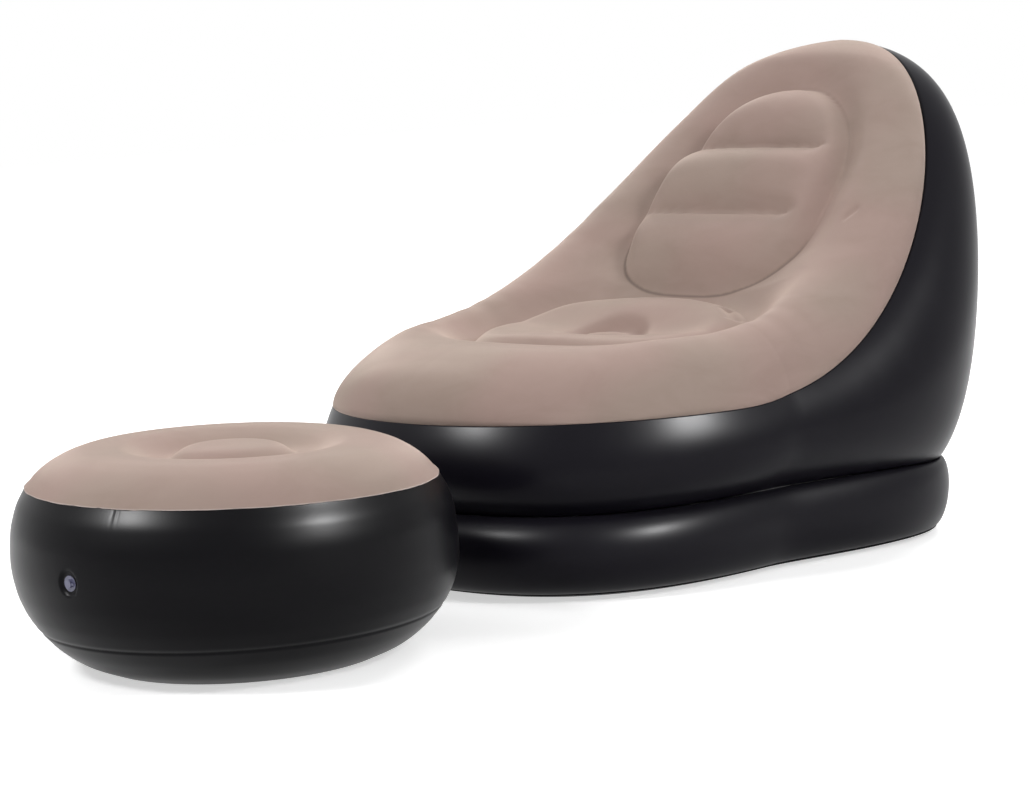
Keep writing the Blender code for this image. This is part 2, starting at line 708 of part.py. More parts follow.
def panel_height(x, y):
    """The height of the top panel's facets, between the rows on either side of y."""
    row = min(max(int(np.searchsorted(ROWS, y, side="right")) - 1, 0), len(ROWS) - 2)
    share = (y - ROWS[row]) / (ROWS[row + 1] - ROWS[row])
    heights = []
    for line in panel_lines[row:row + 2]:
        heights.append(np.interp(x, [point[0] for point in line], [point[2] for point in line]))
    return float(heights[0] * (1 - share) + heights[1] * share)


def tie_lines(points, closed):
    """Foot and top lines. Each top corner clears the panel as far as the next corners."""
    low, high = [], []
    for i, (x, y) in enumerate(points):
        least = panel_height(x, y)
        for other in (i - 1, i + 1):
            if closed or 0 <= other < len(points):
                ox, oy = points[other % len(points)]
                for share in TIE_STEP_SHARES:
                    least = min(least, panel_height(x + (ox - x) * share, y + (oy - y) * share))
        low.append((x, y, TIE_FOOT))
        high.append((x, y, least - FLOCKED_SHEET - BEAM_CLEARANCE))
    return [low, high]


def ring_tie(name, points, parent):
    return grid_sheet(name, tie_lines(points, True), INNER, BEAM_SHEET, True, parent)


def pad_ring(place, centre):
    """Points of a pad's groove line, found along rays from its centre."""
    points = []
    for i in range(ROUND_SIDES):
        angle = 2 * pi * i / ROUND_SIDES
        ray = np.array([sin(angle), -cos(angle)])
        low, high = 0.0, SEAM_REAR
        for _ in range(40):
            middle = (low + high) / 2
            x, y = ray * middle + (0.0, centre)
            if place(x, y) < 1:
                low = middle
            else:
                high = middle
        points.append(tuple(float(c) for c in ray * low + (0.0, centre)))
    return points


ring_tie("chair_seat_ring_tie", pad_ring(seat_pad_place, SEAT_PAD_CENTRE), chair)
back_middle = (BACK_PAD_TOP + BACK_PAD_BOTTOM) / 2
ring_tie("chair_back_ring_tie", pad_ring(back_pad_place, back_middle), chair)
centre_points = []
for i in range(CENTRE_TIE_SIDES):
    angle = 2 * pi * i / CENTRE_TIE_SIDES
    centre_points.append(
        (DIMPLE_RADIUS * sin(angle), SEAT_PAD_CENTRE - DIMPLE_RADIUS * cos(angle))
    )
ring_tie("chair_seat_centre_tie", centre_points, chair)
for name, y in (("chair_back_lower_tie", LOWER_CREASE), ("chair_back_upper_tie", UPPER_CREASE)):
    half = pad_half_width(y) - TIE_END_MARGIN
    points = [(half * (2 * i / STRAIGHT_TIE_STEPS - 1), y) for i in range(STRAIGHT_TIE_STEPS + 1)]
    grid_sheet(name, tie_lines(points, False), INNER, BEAM_SHEET, False, chair)

# Footstool sheets, turned about its own axis

stool = empty("Footstool", (STOOL_X, STOOL_Y, 0.0))


def stool_wall_point(t):
    """Radius and height of the footstool wall from the lower seam to the upper seam."""
    out = STOOL_BULGE * float(monotone(STOOL_BULGE_RISE_SHARES, STOOL_BULGE_SHARES, t))
    radius = STOOL_LOWER_SEAM_RADIUS + (STOOL_UPPER_SEAM_RADIUS - STOOL_LOWER_SEAM_RADIUS) * t
    return radius + out, STOOL_LOWER_SEAM_HEIGHT + (STOOL_UPPER_SEAM_HEIGHT - STOOL_LOWER_SEAM_HEIGHT) * t


def stool_top_height(r):
    """The outer face of the footstool's top at radius r."""
    if r > STOOL_CREST_RADIUS:
        t = (r - STOOL_CREST_RADIUS) / (STOOL_UPPER_SEAM_RADIUS - STOOL_CREST_RADIUS)
        share = float(monotone(STOOL_ROLL_REACH_SHARES, STOOL_ROLL_RISE_SHARES, t))
        return STOOL_UPPER_SEAM_HEIGHT + (STOOL_CREST_HEIGHT - STOOL_UPPER_SEAM_HEIGHT) * share
    inward = float(smoother(1 - r / STOOL_CREST_RADIUS))
    groove = STOOL_GROOVE_DEPTH * float(bump(r - STOOL_GROOVE_RADIUS, STOOL_GROOVE_WIDTH))
    edge = float(smoother((STOOL_CREST_RADIUS - r) / STOOL_GROOVE_WIDTH))
    return STOOL_CREST_HEIGHT - STOOL_CENTRE_DROP * inward - groove * edge


def stool_angle(i):
    """The corners' angles, placed so that the valve lies in the middle of a facet."""
    return STOOL_VALVE_ANGLE + 2 * pi * (i - 0.5) / STOOL_SIDES


def stool_ring(radius, height):
    return [
        (radius * cos(stool_angle(i)), radius * sin(stool_angle(i)), height)
        for i in range(STOOL_SIDES)
    ]


stool_rise = STOOL_UPPER_SEAM_HEIGHT - STOOL_LOWER_SEAM_HEIGHT
stool_shares = [(1 - cos(pi * i / STOOL_WALL_ROWS)) / 2 for i in range(STOOL_WALL_ROWS + 1)]


def stool_sheet_point(t):
    """The footstool wall, kept a gap short of the sheets above and below it."""
    return stool_wall_point(t)[0], (
        STOOL_LOWER_SEAM_HEIGHT + SEAM_GAP + (stool_rise - 2 * SEAM_GAP) * t
    )


stool_wall = grid_sheet(
    "ottoman_side_wall", [stool_ring(*stool_sheet_point(t)) for t in stool_shares],
    DARK, SMOOTH_SHEET, True, stool,
)
roll = STOOL_UPPER_SEAM_RADIUS - STOOL_CREST_RADIUS
stool_radii = [STOOL_CREST_RADIUS + roll * share for share in STOOL_ROLL_SHARES]
stool_radii += [
    STOOL_GROOVE_RADIUS + STOOL_GROOVE_WIDTH,
    STOOL_GROOVE_RADIUS,
    STOOL_GROOVE_RADIUS - STOOL_GROOVE_WIDTH,
    0.0,
]
grid_sheet(
    "ottoman_top_panel", [stool_ring(r, stool_top_height(r)) for r in stool_radii],
    FLOCKED, FLOCKED_SHEET, True, stool,
)
foot_lines = []
for reach, rise in zip(STOOL_FOOT_REACH_SHARES, STOOL_FOOT_RISE_SHARES):
    radius = STOOL_FOOT_RADIUS + (STOOL_LOWER_SEAM_RADIUS - STOOL_FOOT_RADIUS) * reach
    foot_lines.append(stool_ring(radius, STOOL_LOWER_SEAM_HEIGHT * rise))
grid_sheet("ottoman_bottom_sheet", foot_lines, DARK, SMOOTH_SHEET, True, stool, cap=0.0)


def stool_tie(name, radius, sides):
    low, high = [], []
    top = float(np.interp(radius, stool_radii[::-1], [stool_top_height(r) for r in stool_radii[::-1]]))
    top -= FLOCKED_SHEET + BEAM_CLEARANCE
    for i in range(sides):
        angle = 2 * pi * i / sides
        low.append((radius * cos(angle), radius * sin(angle), SMOOTH_SHEET + BEAM_GAP))
        high.append((radius * cos(angle), radius * sin(angle), top))
    return grid_sheet(name, [low, high], INNER, BEAM_SHEET, True, stool)


stool_tie("ottoman_ring_tie", STOOL_GROOVE_RADIUS, ROUND_SIDES)
stool_tie("ottoman_centre_tie", STOOL_CENTRE_TIE_RADIUS, CENTRE_TIE_SIDES)


# Valves, each built along its own empty's Z, which is the wall's outward normal

def block(name, size, middle, surface, parent, collection=PARTS):
    bm = bmesh.new()
    bmesh.ops.create_cube(bm, size=1.0)
    bmesh.ops.scale(bm, verts=bm.verts, vec=size)
    bmesh.ops.translate(bm, verts=bm.verts, vec=middle)
    mesh = bpy.data.meshes.new(name)
    bm.to_mesh(mesh)
    bm.free()
    return add(name, mesh, surface, parent, collection)


def valve_body(name, frame, thickness, flange, flange_thickness, outer, bore, rise, depth, surface):
    """Flange behind the wall, with a neck out through it and a stem inwards."""
    face = -(thickness + VALVE_SEAT_GAP)
    back = face - flange_thickness
    profile = [
        (bore, rise), (outer, rise), (outer, face), (flange, face), (flange, back), (outer, back),
        (outer, back - depth), (bore, back - depth),
    ]
    if depth <= 0:
        profile = profile[:5] + [(bore, back)]
    return turned(name, profile, surface, frame)


def stopper(name, hinge, reach, seat, radius, head, stem, stem_length, strap_width, strap, surface):
    """Disc, stem and strap in one piece. The hinge is at the strap's far end."""
    lift = seat + PART_GAP - hinge.location.z
    made = turned(
        name,
        [(0.0, lift + head), (radius, lift + head), (radius, lift), (stem, lift),
         (stem, lift - stem_length), (0.0, lift - stem_length)],
        surface, hinge,
    )
    made.location = (-reach, 0, 0)
    length = reach - radius / 2
    tongue = block(
        name + "_tongue", (length, strap_width, strap), (-length / 2, 0, lift + strap / 2),
        surface, hinge, CUTTERS,
    )
    boolean(made, as_cutter(tongue), "UNION")
    return made


# Chair valve, on the facet beside the middle of the rear
last = RIGHT_ANGLES[-3], RIGHT_ANGLES[-2]
shares = [wall_share(angle, row) for row in (1, 2) for angle in last]
cell = [
    wall_point(last[0], shares[0]), wall_point(last[1], shares[1]),
    wall_point(last[1], shares[3]), wall_point(last[0], shares[2]),
]
chair_valve = seat_frame("Chair valve", cell)
neck_hole = rod(
    "neck_hole", NECK_RADIUS + NECK_HOLE_CLEARANCE, -CUT_OVERRUN * 2, CUT_OVERRUN * 2, chair_valve
)
boolean(wall, neck_hole)
valve_body(
    "chair_valve_base", chair_valve, SMOOTH_SHEET, FLANGE_RADIUS, FLANGE_THICKNESS,
    NECK_RADIUS, NECK_BORE_RADIUS, NECK_RISE, 0.0, VALVE,
)

plug_frame = empty("Chair valve plug", (0, 0, NECK_RISE), chair_valve)
bm = bmesh.new()
grips = PLUG_GRIPS * 4
bmesh.ops.create_cone(
    bm, cap_ends=True, segments=grips, radius1=PLUG_HEAD_RADIUS, radius2=PLUG_HEAD_RADIUS,
    depth=PLUG_HEAD_THICKNESS,
    matrix=Matrix.Translation((0, 0, PART_GAP + PLUG_HEAD_THICKNESS / 2)),
)
for corner in bm.verts:
    angle = np.arctan2(corner.co.y, corner.co.x)
    radius = PLUG_HEAD_RADIUS - PLUG_GRIP_DEPTH * 0.5 * (1 - cos(PLUG_GRIPS * angle))
    corner.co.x, corner.co.y = radius * cos(angle), radius * sin(angle)
mesh = bpy.data.meshes.new("chair_valve_plug")
bm.to_mesh(mesh)
bm.free()
plug = add("chair_valve_plug", mesh, VALVE, plug_frame)
plug_shaft = rod(
    "plug_shaft", NECK_BORE_RADIUS - PLUG_CLEARANCE, -PLUG_LENGTH, PART_GAP + PLUG_HEAD_THICKNESS / 2,
    plug_frame, surface=VALVE,
)
boolean(plug, plug_shaft, "UNION")
plug_bore = rod(
    "plug_bore", PLUG_BORE_RADIUS, -PLUG_LENGTH - CUT_OVERRUN, PLUG_HEAD_THICKNESS + CUT_OVERRUN, plug_frame
)
boolean(plug, plug_bore)

head_top = PART_GAP + PLUG_HEAD_THICKNESS
cap_hinge = empty(
    "Cap hinge", (CAP_HINGE_RADIUS, 0, head_top + PART_GAP + CAP_STRAP_THICKNESS / 2), plug_frame
)
stopper(
    "chair_valve_cap", cap_hinge, CAP_HINGE_RADIUS, head_top, CAP_RADIUS, CAP_THICKNESS,
    PLUG_BORE_RADIUS - CAP_CLEARANCE, CAP_STEM_LENGTH, CAP_STRAP_WIDTH, CAP_STRAP_THICKNESS, VALVE,
)

flap_hinge = empty("Chair flap hinge", (FLAP_RADIUS, 0, -PLUG_LENGTH - PART_GAP), plug_frame)
cylinder(
    "chair_valve_flap", FLAP_RADIUS, -FLAP_THICKNESS, 0.0, VALVE, flap_hinge, x=-FLAP_RADIUS
)

# Footstool valve, on the facet that faces the front
ends = (stool_angle(0), stool_angle(1))
rows = (stool_shares[STOOL_WALL_ROWS // 2], stool_shares[STOOL_WALL_ROWS // 2 + 1])


def stool_corner(angle, share):
    r, z = stool_sheet_point(share)
    return (STOOL_X + r * cos(angle), STOOL_Y + r * sin(angle), z)


stool_valve = seat_frame(
    "Footstool valve",
    [
        stool_corner(ends[0], rows[0]), stool_corner(ends[1], rows[0]),
        stool_corner(ends[1], rows[1]), stool_corner(ends[0], rows[1]),
    ],
)
stem_hole = rod(
    "stem_hole", STEM_RADIUS + NECK_HOLE_CLEARANCE, -CUT_OVERRUN * 2, CUT_OVERRUN * 2, stool_valve
)
boolean(stool_wall, stem_hole)
valve_body(
    "ottoman_valve_body", stool_valve, SMOOTH_SHEET, STOOL_FLANGE_RADIUS, STOOL_FLANGE_THICKNESS,
    STEM_RADIUS, STEM_BORE_RADIUS, PART_GAP, STEM_LENGTH, CLEAR,
)
stopper_hinge = empty(
    "Stopper hinge", (STOPPER_HINGE_RADIUS, 0, PART_GAP * 2 + STOPPER_STRAP_THICKNESS / 2), stool_valve
)
stopper(
    "ottoman_valve_stopper", stopper_hinge, STOPPER_HINGE_RADIUS, PART_GAP, STOPPER_HEAD_RADIUS,
    STOPPER_HEAD_THICKNESS, STEM_BORE_RADIUS - STOPPER_CLEARANCE, STOPPER_STEM_LENGTH,
    STOPPER_STRAP_WIDTH, STOPPER_STRAP_THICKNESS, CLEAR,
)
stem_end = -(SMOOTH_SHEET + VALVE_SEAT_GAP + STOOL_FLANGE_THICKNESS + STEM_LENGTH)
stool_flap_hinge = empty("Footstool flap hinge", (STEM_RADIUS, 0, stem_end - PART_GAP), stool_valve)
cylinder(
    "ottoman_valve_flap", STEM_RADIUS, -STOOL_FLAP_THICKNESS, 0.0, CLEAR, stool_flap_hinge, x=-STEM_RADIUS
)
bpy.context.view_layer.update()
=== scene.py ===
# Looks of the inflatable lounge chair and its footstool. Metres, +Z up.
# The chair faces -Y, its occupant's left is +X, and the floor is at zero.
import bmesh
import bpy
import numpy as np
from math import cos, pi, radians, sin
from mathutils import Matrix, Vector
from mathutils.bvhtree import BVHTree


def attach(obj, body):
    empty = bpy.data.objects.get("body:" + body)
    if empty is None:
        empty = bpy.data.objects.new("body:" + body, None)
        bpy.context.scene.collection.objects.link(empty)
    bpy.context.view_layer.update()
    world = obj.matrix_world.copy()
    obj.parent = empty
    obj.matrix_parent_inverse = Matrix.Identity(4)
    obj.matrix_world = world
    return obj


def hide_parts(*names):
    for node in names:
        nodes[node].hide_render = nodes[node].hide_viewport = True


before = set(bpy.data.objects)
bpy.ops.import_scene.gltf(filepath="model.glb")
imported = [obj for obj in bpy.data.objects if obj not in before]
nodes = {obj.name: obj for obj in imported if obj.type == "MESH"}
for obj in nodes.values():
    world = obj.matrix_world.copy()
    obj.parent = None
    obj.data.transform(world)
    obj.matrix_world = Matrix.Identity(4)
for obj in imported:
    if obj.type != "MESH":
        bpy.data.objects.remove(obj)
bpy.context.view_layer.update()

# Camera
heading = 0.7879
distance = 4.6756
eye_height = 0.8408
yaw = 0.0284
pitch = 0.1287
roll = -0.0567
eye = Vector((sin(heading) * distance, -cos(heading) * distance, eye_height))
turned = heading + yaw
ahead = Vector((-sin(turned) * cos(pitch), cos(turned) * cos(pitch), -sin(pitch)))
level = Vector((cos(turned), sin(turned), 0.0))
upright = level.cross(ahead)
right = level * cos(roll) + upright * sin(roll)
up = upright * cos(roll) - level * sin(roll)
camera_data = bpy.data.cameras.new("Camera")
camera_data.sensor_fit = "HORIZONTAL"
camera_data.sensor_width = 36.0
camera_data.lens = 105.06
camera_data.clip_end = 60.0
camera = bpy.data.objects.new("Camera", camera_data)
bpy.context.scene.collection.objects.link(camera)
camera.matrix_world = Matrix.Translation(eye) @ Matrix((right, up, -ahead)).transposed().to_4x4()
bpy.context.scene.camera = camera
bpy.context.scene.view_settings.view_transform = "Standard"

# Sizes of the chair
SEAM_HALF_WIDTH = 0.396
SEAM_FRONT = 0.422
SEAM_REAR = 0.629
SEAM_FRONT_POWER = 2.09
SEAM_REAR_POWER = 1.94
SEAM_REAR_SPREAD = 0.159
SEAM_FRONT_HEIGHT = 0.257
SEAM_TOP_HEIGHT = 0.766
SEAM_RISE_START = radians(75)
SEAM_RISE_END = radians(186)
WAIST_HALF_WIDTH = 0.354
WAIST_FRONT = 0.395
WAIST_REAR = 0.493
WAIST_POWER = 2.68
WAIST_REAR_SPREAD = 0.470
WAIST_HEIGHT = 0.123
WAIST_REAR_DROP = 0.008
WAIST_DROP_START = radians(95)
WAIST_DROP_RUN = radians(50)
LOWER_BULGE = 0.052
LOWER_SHARES = (0.53, 0.45, 0.71, 1.13, 0.973, 0.77)
UPPER_BULGE = 0.066
UPPER_SHARES = (0.37, 0.29, 0.47, 1.0)
REAR_OVERHANG = 0.114
OVERHANG_SHARES = (0.83, 1.0)
REAR_LIFT = 0.061
TUBE_BULGE = 0.044
TUBE_SHARES = (1.0, 1.0, 0.68, 0.42, 0.34, 0.34)
TUBE_POWER = 0.5
BOTTOM_INSET = 0.004
INSET_SHARES = (1.0, 1.0, 1.0, 3.0, 3.0, 3.0)
STATIONS = np.radians((0, 45, 90, 135, 160, 180))
BOTTOM_SEAM_HEIGHT = 0.009
BOTTOM_EDGE_WIDTH = 0.034
TUBE_LIP = 0.0035
TUBE_LIP_DROP = 0.001
# The top's centre line, as shares of the seam's reach and of its top height
CENTRE_REACHES = (
    -1.066, -0.806, -0.592, -0.355, -0.118, 0.048, 0.191, 0.286, 0.397, 0.517, 0.636, 0.755, 0.874, 1.049
)
CENTRE_HEIGHTS = (
    0.5295, 0.4693, 0.4615, 0.4516, 0.4214, 0.4107, 0.4634, 0.4967, 0.5662, 0.6846, 0.7744, 0.8726, 0.9761,
    1.0274
)
ARM_RISE = 0.064
ARM_REACHES = (
    -0.829, -0.6, -0.48, -0.38, -0.29, -0.2, -0.12, -0.05, 0.02, 0.08, 0.14, 0.2, 0.27, 0.34, 0.42, 0.5, 0.58,
    0.715, 0.986
)
ARM_SHARES = (
    -0.525, -0.135, 0.079, 0.258, 0.447, 0.682, 0.851, 0.998, 1.151, 1.197, 1.027, 0.909, 0.923, 0.832, 0.556,
    0.062, -0.099, -0.123, -0.073
)
ARM_START = 0.122
ARM_CREST = 1.091
ROLL_WIDTHS = (0.155, 0.114, 0.160, 0.116)
ROLL_POWER = 1.70
SEAT_CENTRE = 0.018
SEAT_HALF_WIDTH = 0.234
SEAT_HALF_LENGTH = 0.164
SEAT_POWER = 2.3
BACK_BOTTOM = 0.194
BACK_TOP = 0.501
BACK_HALF_WIDTH = 0.181
BACK_SHIFT = 0.008
BACK_POWER = 2.55
BACK_POWER_CHANGE = -0.35
BACK_TAPER = 0.18
CREASES = (0.305, 0.406)
SEAT_SINK = 0.012
SEAT_END_SINK = 0.8
BACK_SINK = 0.016
BACK_SINK_FLOOR = 0.35
SINK_OUTSIDE = 0.034
SINK_INSIDE = 0.012
SEAT_CROWN = 0.027
BACK_CROWN = 0.042
# How square the pads' crowns are across, and how steeply they start at the groove
SEAT_SQUARENESS = 2.6
SEAT_STEEPNESS = 0.72
BACK_SQUARENESS = 3.6
BACK_STEEPNESS = 0.62
CREASE_FLOOR = 0.06
LOBE_POWER = 0.90
LOBE_SPARE = 0.022
LOBE_SKEWS = (1.6, 1.1, 1.0)
CREASE_FADE_STARTS = (0.60, 0.86)
DIMPLE_RADIUS = 0.054
DIMPLE_WIDTH = 0.018
DIMPLE_DEPTH = 0.017
DIMPLE_FLOOR = 0.10
# Short puckers in the top: two ends in plan, then depth and half-width
PUCKERS = (
    ((0.150, 0.138), (0.192, 0.104), 0.010, 0.006),
    ((-0.232, 0.030), (-0.214, -0.058), 0.007, 0.012),
    ((0.262, 0.300), (0.272, 0.312), 0.003, 0.005),
)
FLANGE = 0.0018
WELD_WIDTH = 0.004
# The darkening along the pads' welds: the least share, which is crushed pile, then the painted crease
# shade that the seat pad's ends and the low lobe add, where that starts and over what run it comes in
LEAST_CRUSH = 0.12
SEAT_CREASE_SHADE = 0.70
SEAT_CREASE_SHADE_START = 0.90
SEAT_CREASE_SHADE_RUN = 0.07
LOBE_CREASE_SHADE = 0.46
LOBE_CREASE_SHADE_HEIGHT = 0.11
LOBE_CREASE_SHADE_RUN = 0.06
# The plain top's normal is measured over this step, and the pads come in over this share of the roll
NORMAL_STEP = 0.015
RELIEF_RUN = 0.7

# Sizes of the footstool
STOOL = Vector((0.112, -0.816, 0.0))
FOOT_RADIUS = 0.194
LOWER_SEAM_RADIUS = 0.277
LOWER_SEAM_HEIGHT = 0.059
UPPER_SEAM_RADIUS = 0.281
UPPER_SEAM_HEIGHT = 0.242
STOOL_BULGE = 0.029
CREST_RADIUS = 0.174
CREST_HEIGHT = 0.2885
GROOVE_RADIUS = 0.098
GROOVE_WIDTH = 0.036
MOUND_WIDTH = 0.026
GROOVE_DEPTH = 0.022
CENTRE_DROP = 0.003
STOOL_RISE = 0.003
STOOL_LEAN = 0.022
STOOL_SAG = 0.07
SLACK_HEIGHTS = (0.0, 0.059, 0.11, 0.165, 0.242, 0.29)
SLACKS = (0.001, 0.002, 0.006, 0.011, 0.006, 0.0)
SEAM_TUCK = 0.0022
SEAM_TUCK_WIDTH = 0.003
# The wall's bulge, the roll's height and the foot's reach and rise, as shares along each
WALL_STATIONS = (0.0, 0.150, 0.317, 0.495, 0.676, 0.849, 1.0)
WALL_SHARES = (0.0, 0.533, 0.873, 1.0, 0.904, 0.574, 0.0)
ROLL_STATIONS = (0.0, 0.242, 0.479, 0.673, 0.852, 1.0)
ROLL_SHARES = (1.0, 0.972, 0.837, 0.631, 0.350, 0.0)
FOOT_STATIONS = (0.0, 1 / 3, 2 / 3, 1.0)
FOOT_REACHES = (0.0, 0.39, 0.72, 1.0)
FOOT_RISES = (0.0, 0.237, 0.576, 1.0)
CENTRE_TIE_RADIUS = 0.032
STOOL_TIE_FOOT = 0.003

# Thickness of the sheets that are made here
SHEET = 0.0008


def smoother(t):
    t = np.clip(t, 0.0, 1.0)
    return t * t * t * (10.0 - 15.0 * t + 6.0 * t * t)


def monotone(stations, values, at):
    """A smooth curve through the values that never overshoots them."""
    x, y = np.asarray(stations, float), np.asarray(values, float)
    at = np.clip(np.asarray(at, float), x[0], x[-1])
    step = np.diff(x)
    rise = np.diff(y) / step
    slope = np.zeros(len(x))
    for i in range(1, len(x) - 1):
        if rise[i - 1] * rise[i] > 0:
            a, b = 2 * step[i] + step[i - 1], step[i] + 2 * step[i - 1]
            slope[i] = (a + b) / (a / rise[i - 1] + b / rise[i])
    slope[0], slope[-1] = rise[0], rise[-1]
    i = np.clip(np.searchsorted(x, at, side="right") - 1, 0, len(step) - 1)
    t = (at - x[i]) / step[i]
    return (
        y[i] * (1 + 2 * t) * (1 - t) ** 2
        + slope[i] * step[i] * t * (1 - t) ** 2
        + y[i + 1] * t * t * (3 - 2 * t)
        + slope[i + 1] * step[i] * t * t * (t - 1)
    )


def bump(distance, width):
    return np.exp(-((distance / width) ** 2))


# Outlines seen from above. The angle is 0 at the front, pi / 2 at +X and pi at the rear.
def outline(angle, half_width, front, rear, front_power, rear_power, spread):
    s, k = np.sin(angle), np.cos(angle)
    power = np.where(k > 0, front_power, rear_power)
    y = np.where(k > 0, -front, rear) * np.abs(k) ** (2 / power)
    x = half_width * np.sign(s) * np.abs(s) ** (2 / power) * (1 + spread * np.clip(-k, 0, 1))
    return x, y


def seam_plan(angle):
    return outline(
        angle, SEAM_HALF_WIDTH, SEAM_FRONT, SEAM_REAR, SEAM_FRONT_POWER, SEAM_REAR_POWER, SEAM_REAR_SPREAD
    )


def waist_plan(angle):
    return outline(
        angle, WAIST_HALF_WIDTH, WAIST_FRONT, WAIST_REAR, WAIST_POWER, WAIST_POWER, WAIST_REAR_SPREAD
    )


def outward(plan, angle):
    x1, y1 = plan(angle + 1e-4)
    x0, y0 = plan(angle - 1e-4)
    length = np.hypot(x1 - x0, y1 - y0)
    return (y1 - y0) / length, -(x1 - x0) / length


def turn(angle):
    """How far round from the front an angle is, on either side."""
    return np.abs((angle + pi) % (2 * pi) - pi)


def seam_height(angle):
    rise = smoother((turn(angle) - SEAM_RISE_START) / (SEAM_RISE_END - SEAM_RISE_START))
    end = smoother((pi - SEAM_RISE_START) / (SEAM_RISE_END - SEAM_RISE_START))
    return SEAM_FRONT_HEIGHT + (SEAM_TOP_HEIGHT - SEAM_FRONT_HEIGHT) * rise / end


def waist_height(angle):
    return WAIST_HEIGHT - WAIST_REAR_DROP * smoother((turn(angle) - WAIST_DROP_START) / WAIST_DROP_RUN)


def side_wall(angle, t):
    """The dark side at a share t of the way from the waist up to the seam."""
    sx, sy = seam_plan(angle)
    sz = seam_height(angle)
    nx, ny = outward(seam_plan, angle)
    wx, wy = waist_plan(angle)
    low = LOWER_BULGE * monotone(STATIONS, LOWER_SHARES, turn(angle))
    out = [UPPER_BULGE * share for share in UPPER_SHARES]
    out += [REAR_OVERHANG * share for share in OVERHANG_SHARES]
    high = monotone(STATIONS, out, turn(angle))
    lift = REAR_LIFT * smoother((turn(angle) - SEAM_RISE_START) / (pi - SEAM_RISE_START))
    a, b, c = t - 1 / 3, t - 2 / 3, t - 1
    weights = (-4.5 * a * b * c, 13.5 * t * b * c, -13.5 * t * a * c, 4.5 * t * a * b)
    shares = (0, 1 / 3, 2 / 3, 1)
    x, y, z = 0.0, 0.0, 0.0
    for weight, share, out, rise in zip(weights, shares, (0, low, high, 0), (0, 0, lift, 0)):
        x = x + weight * (wx * (1 - share) + sx * share + nx * out)
        y = y + weight * (wy * (1 - share) + sy * share + ny * out)
        z = z + weight * (waist_height(angle) * (1 - share) + sz * share + rise)
    return x, y, z


def base_tube(angle, t):
    """The base tube at a share t of the way from the bottom seam up to the waist."""
    wx, wy = waist_plan(angle)
    nx, ny = outward(waist_plan, angle)
    out = TUBE_BULGE * monotone(STATIONS, TUBE_SHARES, turn(angle)) * (4 * t * (1 - t)) ** TUBE_POWER
    out = out - BOTTOM_INSET * monotone(STATIONS, INSET_SHARES, turn(angle)) * (1 - t)
    z = BOTTOM_SEAM_HEIGHT + (waist_height(angle) - BOTTOM_SEAM_HEIGHT) * t
    return wx + nx * out, wy + ny * out, z


def reach_of(share):
    return share * (SEAM_FRONT if share < 0 else SEAM_REAR)


def seat_place(x, y):
    """0 at the seat pad's centre and 1 at its groove."""
    across, along = np.abs(x / SEAT_HALF_WIDTH), np.abs((y - SEAT_CENTRE) / SEAT_HALF_LENGTH)
    return (across ** SEAT_POWER + along ** SEAT_POWER) ** (1 / SEAT_POWER)


def back_place(x, y):
    """0 at the back pad's centre and 1 at its groove."""
    along = (y - (BACK_TOP + BACK_BOTTOM) / 2) / ((BACK_TOP - BACK_BOTTOM) / 2)
    width = BACK_HALF_WIDTH * (1 - BACK_TAPER * np.clip(along, -1, 1))
    power = BACK_POWER + BACK_POWER_CHANGE * np.clip(along, -1, 1)
    return (np.abs((x - BACK_SHIFT) / width) ** power + np.abs(along) ** power) ** (1 / power)


def sink(distance):
    """A groove's depth from 1 on its line, steep on the pad's side and soft outside."""
    return np.where(distance > 0, bump(distance, SINK_OUTSIDE), bump(distance, SINK_INSIDE))


def pucker(x, y, start, end, depth, width):
    """The depth of a short crease between two points in plan."""
    start, end = np.array(start), np.array(end)
    line = end - start
    share = np.clip(((x - start[0]) * line[0] + (y - start[1]) * line[1]) / (line @ line), 0, 1)
    away = np.hypot(x - start[0] - share * line[0], y - start[1] - share * line[1])
    return depth * bump(away, width)


def lobed(y, across):
    """The crown of the back's three lobes, 0 along their creases, which fade towards the pad's edge."""
    lines = (BACK_BOTTOM - LOBE_SPARE, *CREASES, BACK_TOP + LOBE_SPARE)
    crown = 0.0
    for low, high, skew in zip(lines[:-1], lines[1:], LOBE_SKEWS):
        share = np.clip((y - low) / (high - low), 0, 1) ** skew
        arc = np.clip(1 - (2 * share - 1) ** 2, 0, 1) ** LOBE_POWER
        crown = np.where((y >= low) & (y < high), arc, crown)
    start = np.where(across > 0, *CREASE_FADE_STARTS)
    fade = smoother((np.abs(across) - start) / (1 - start))
    return crown + (1 - crown) * fade


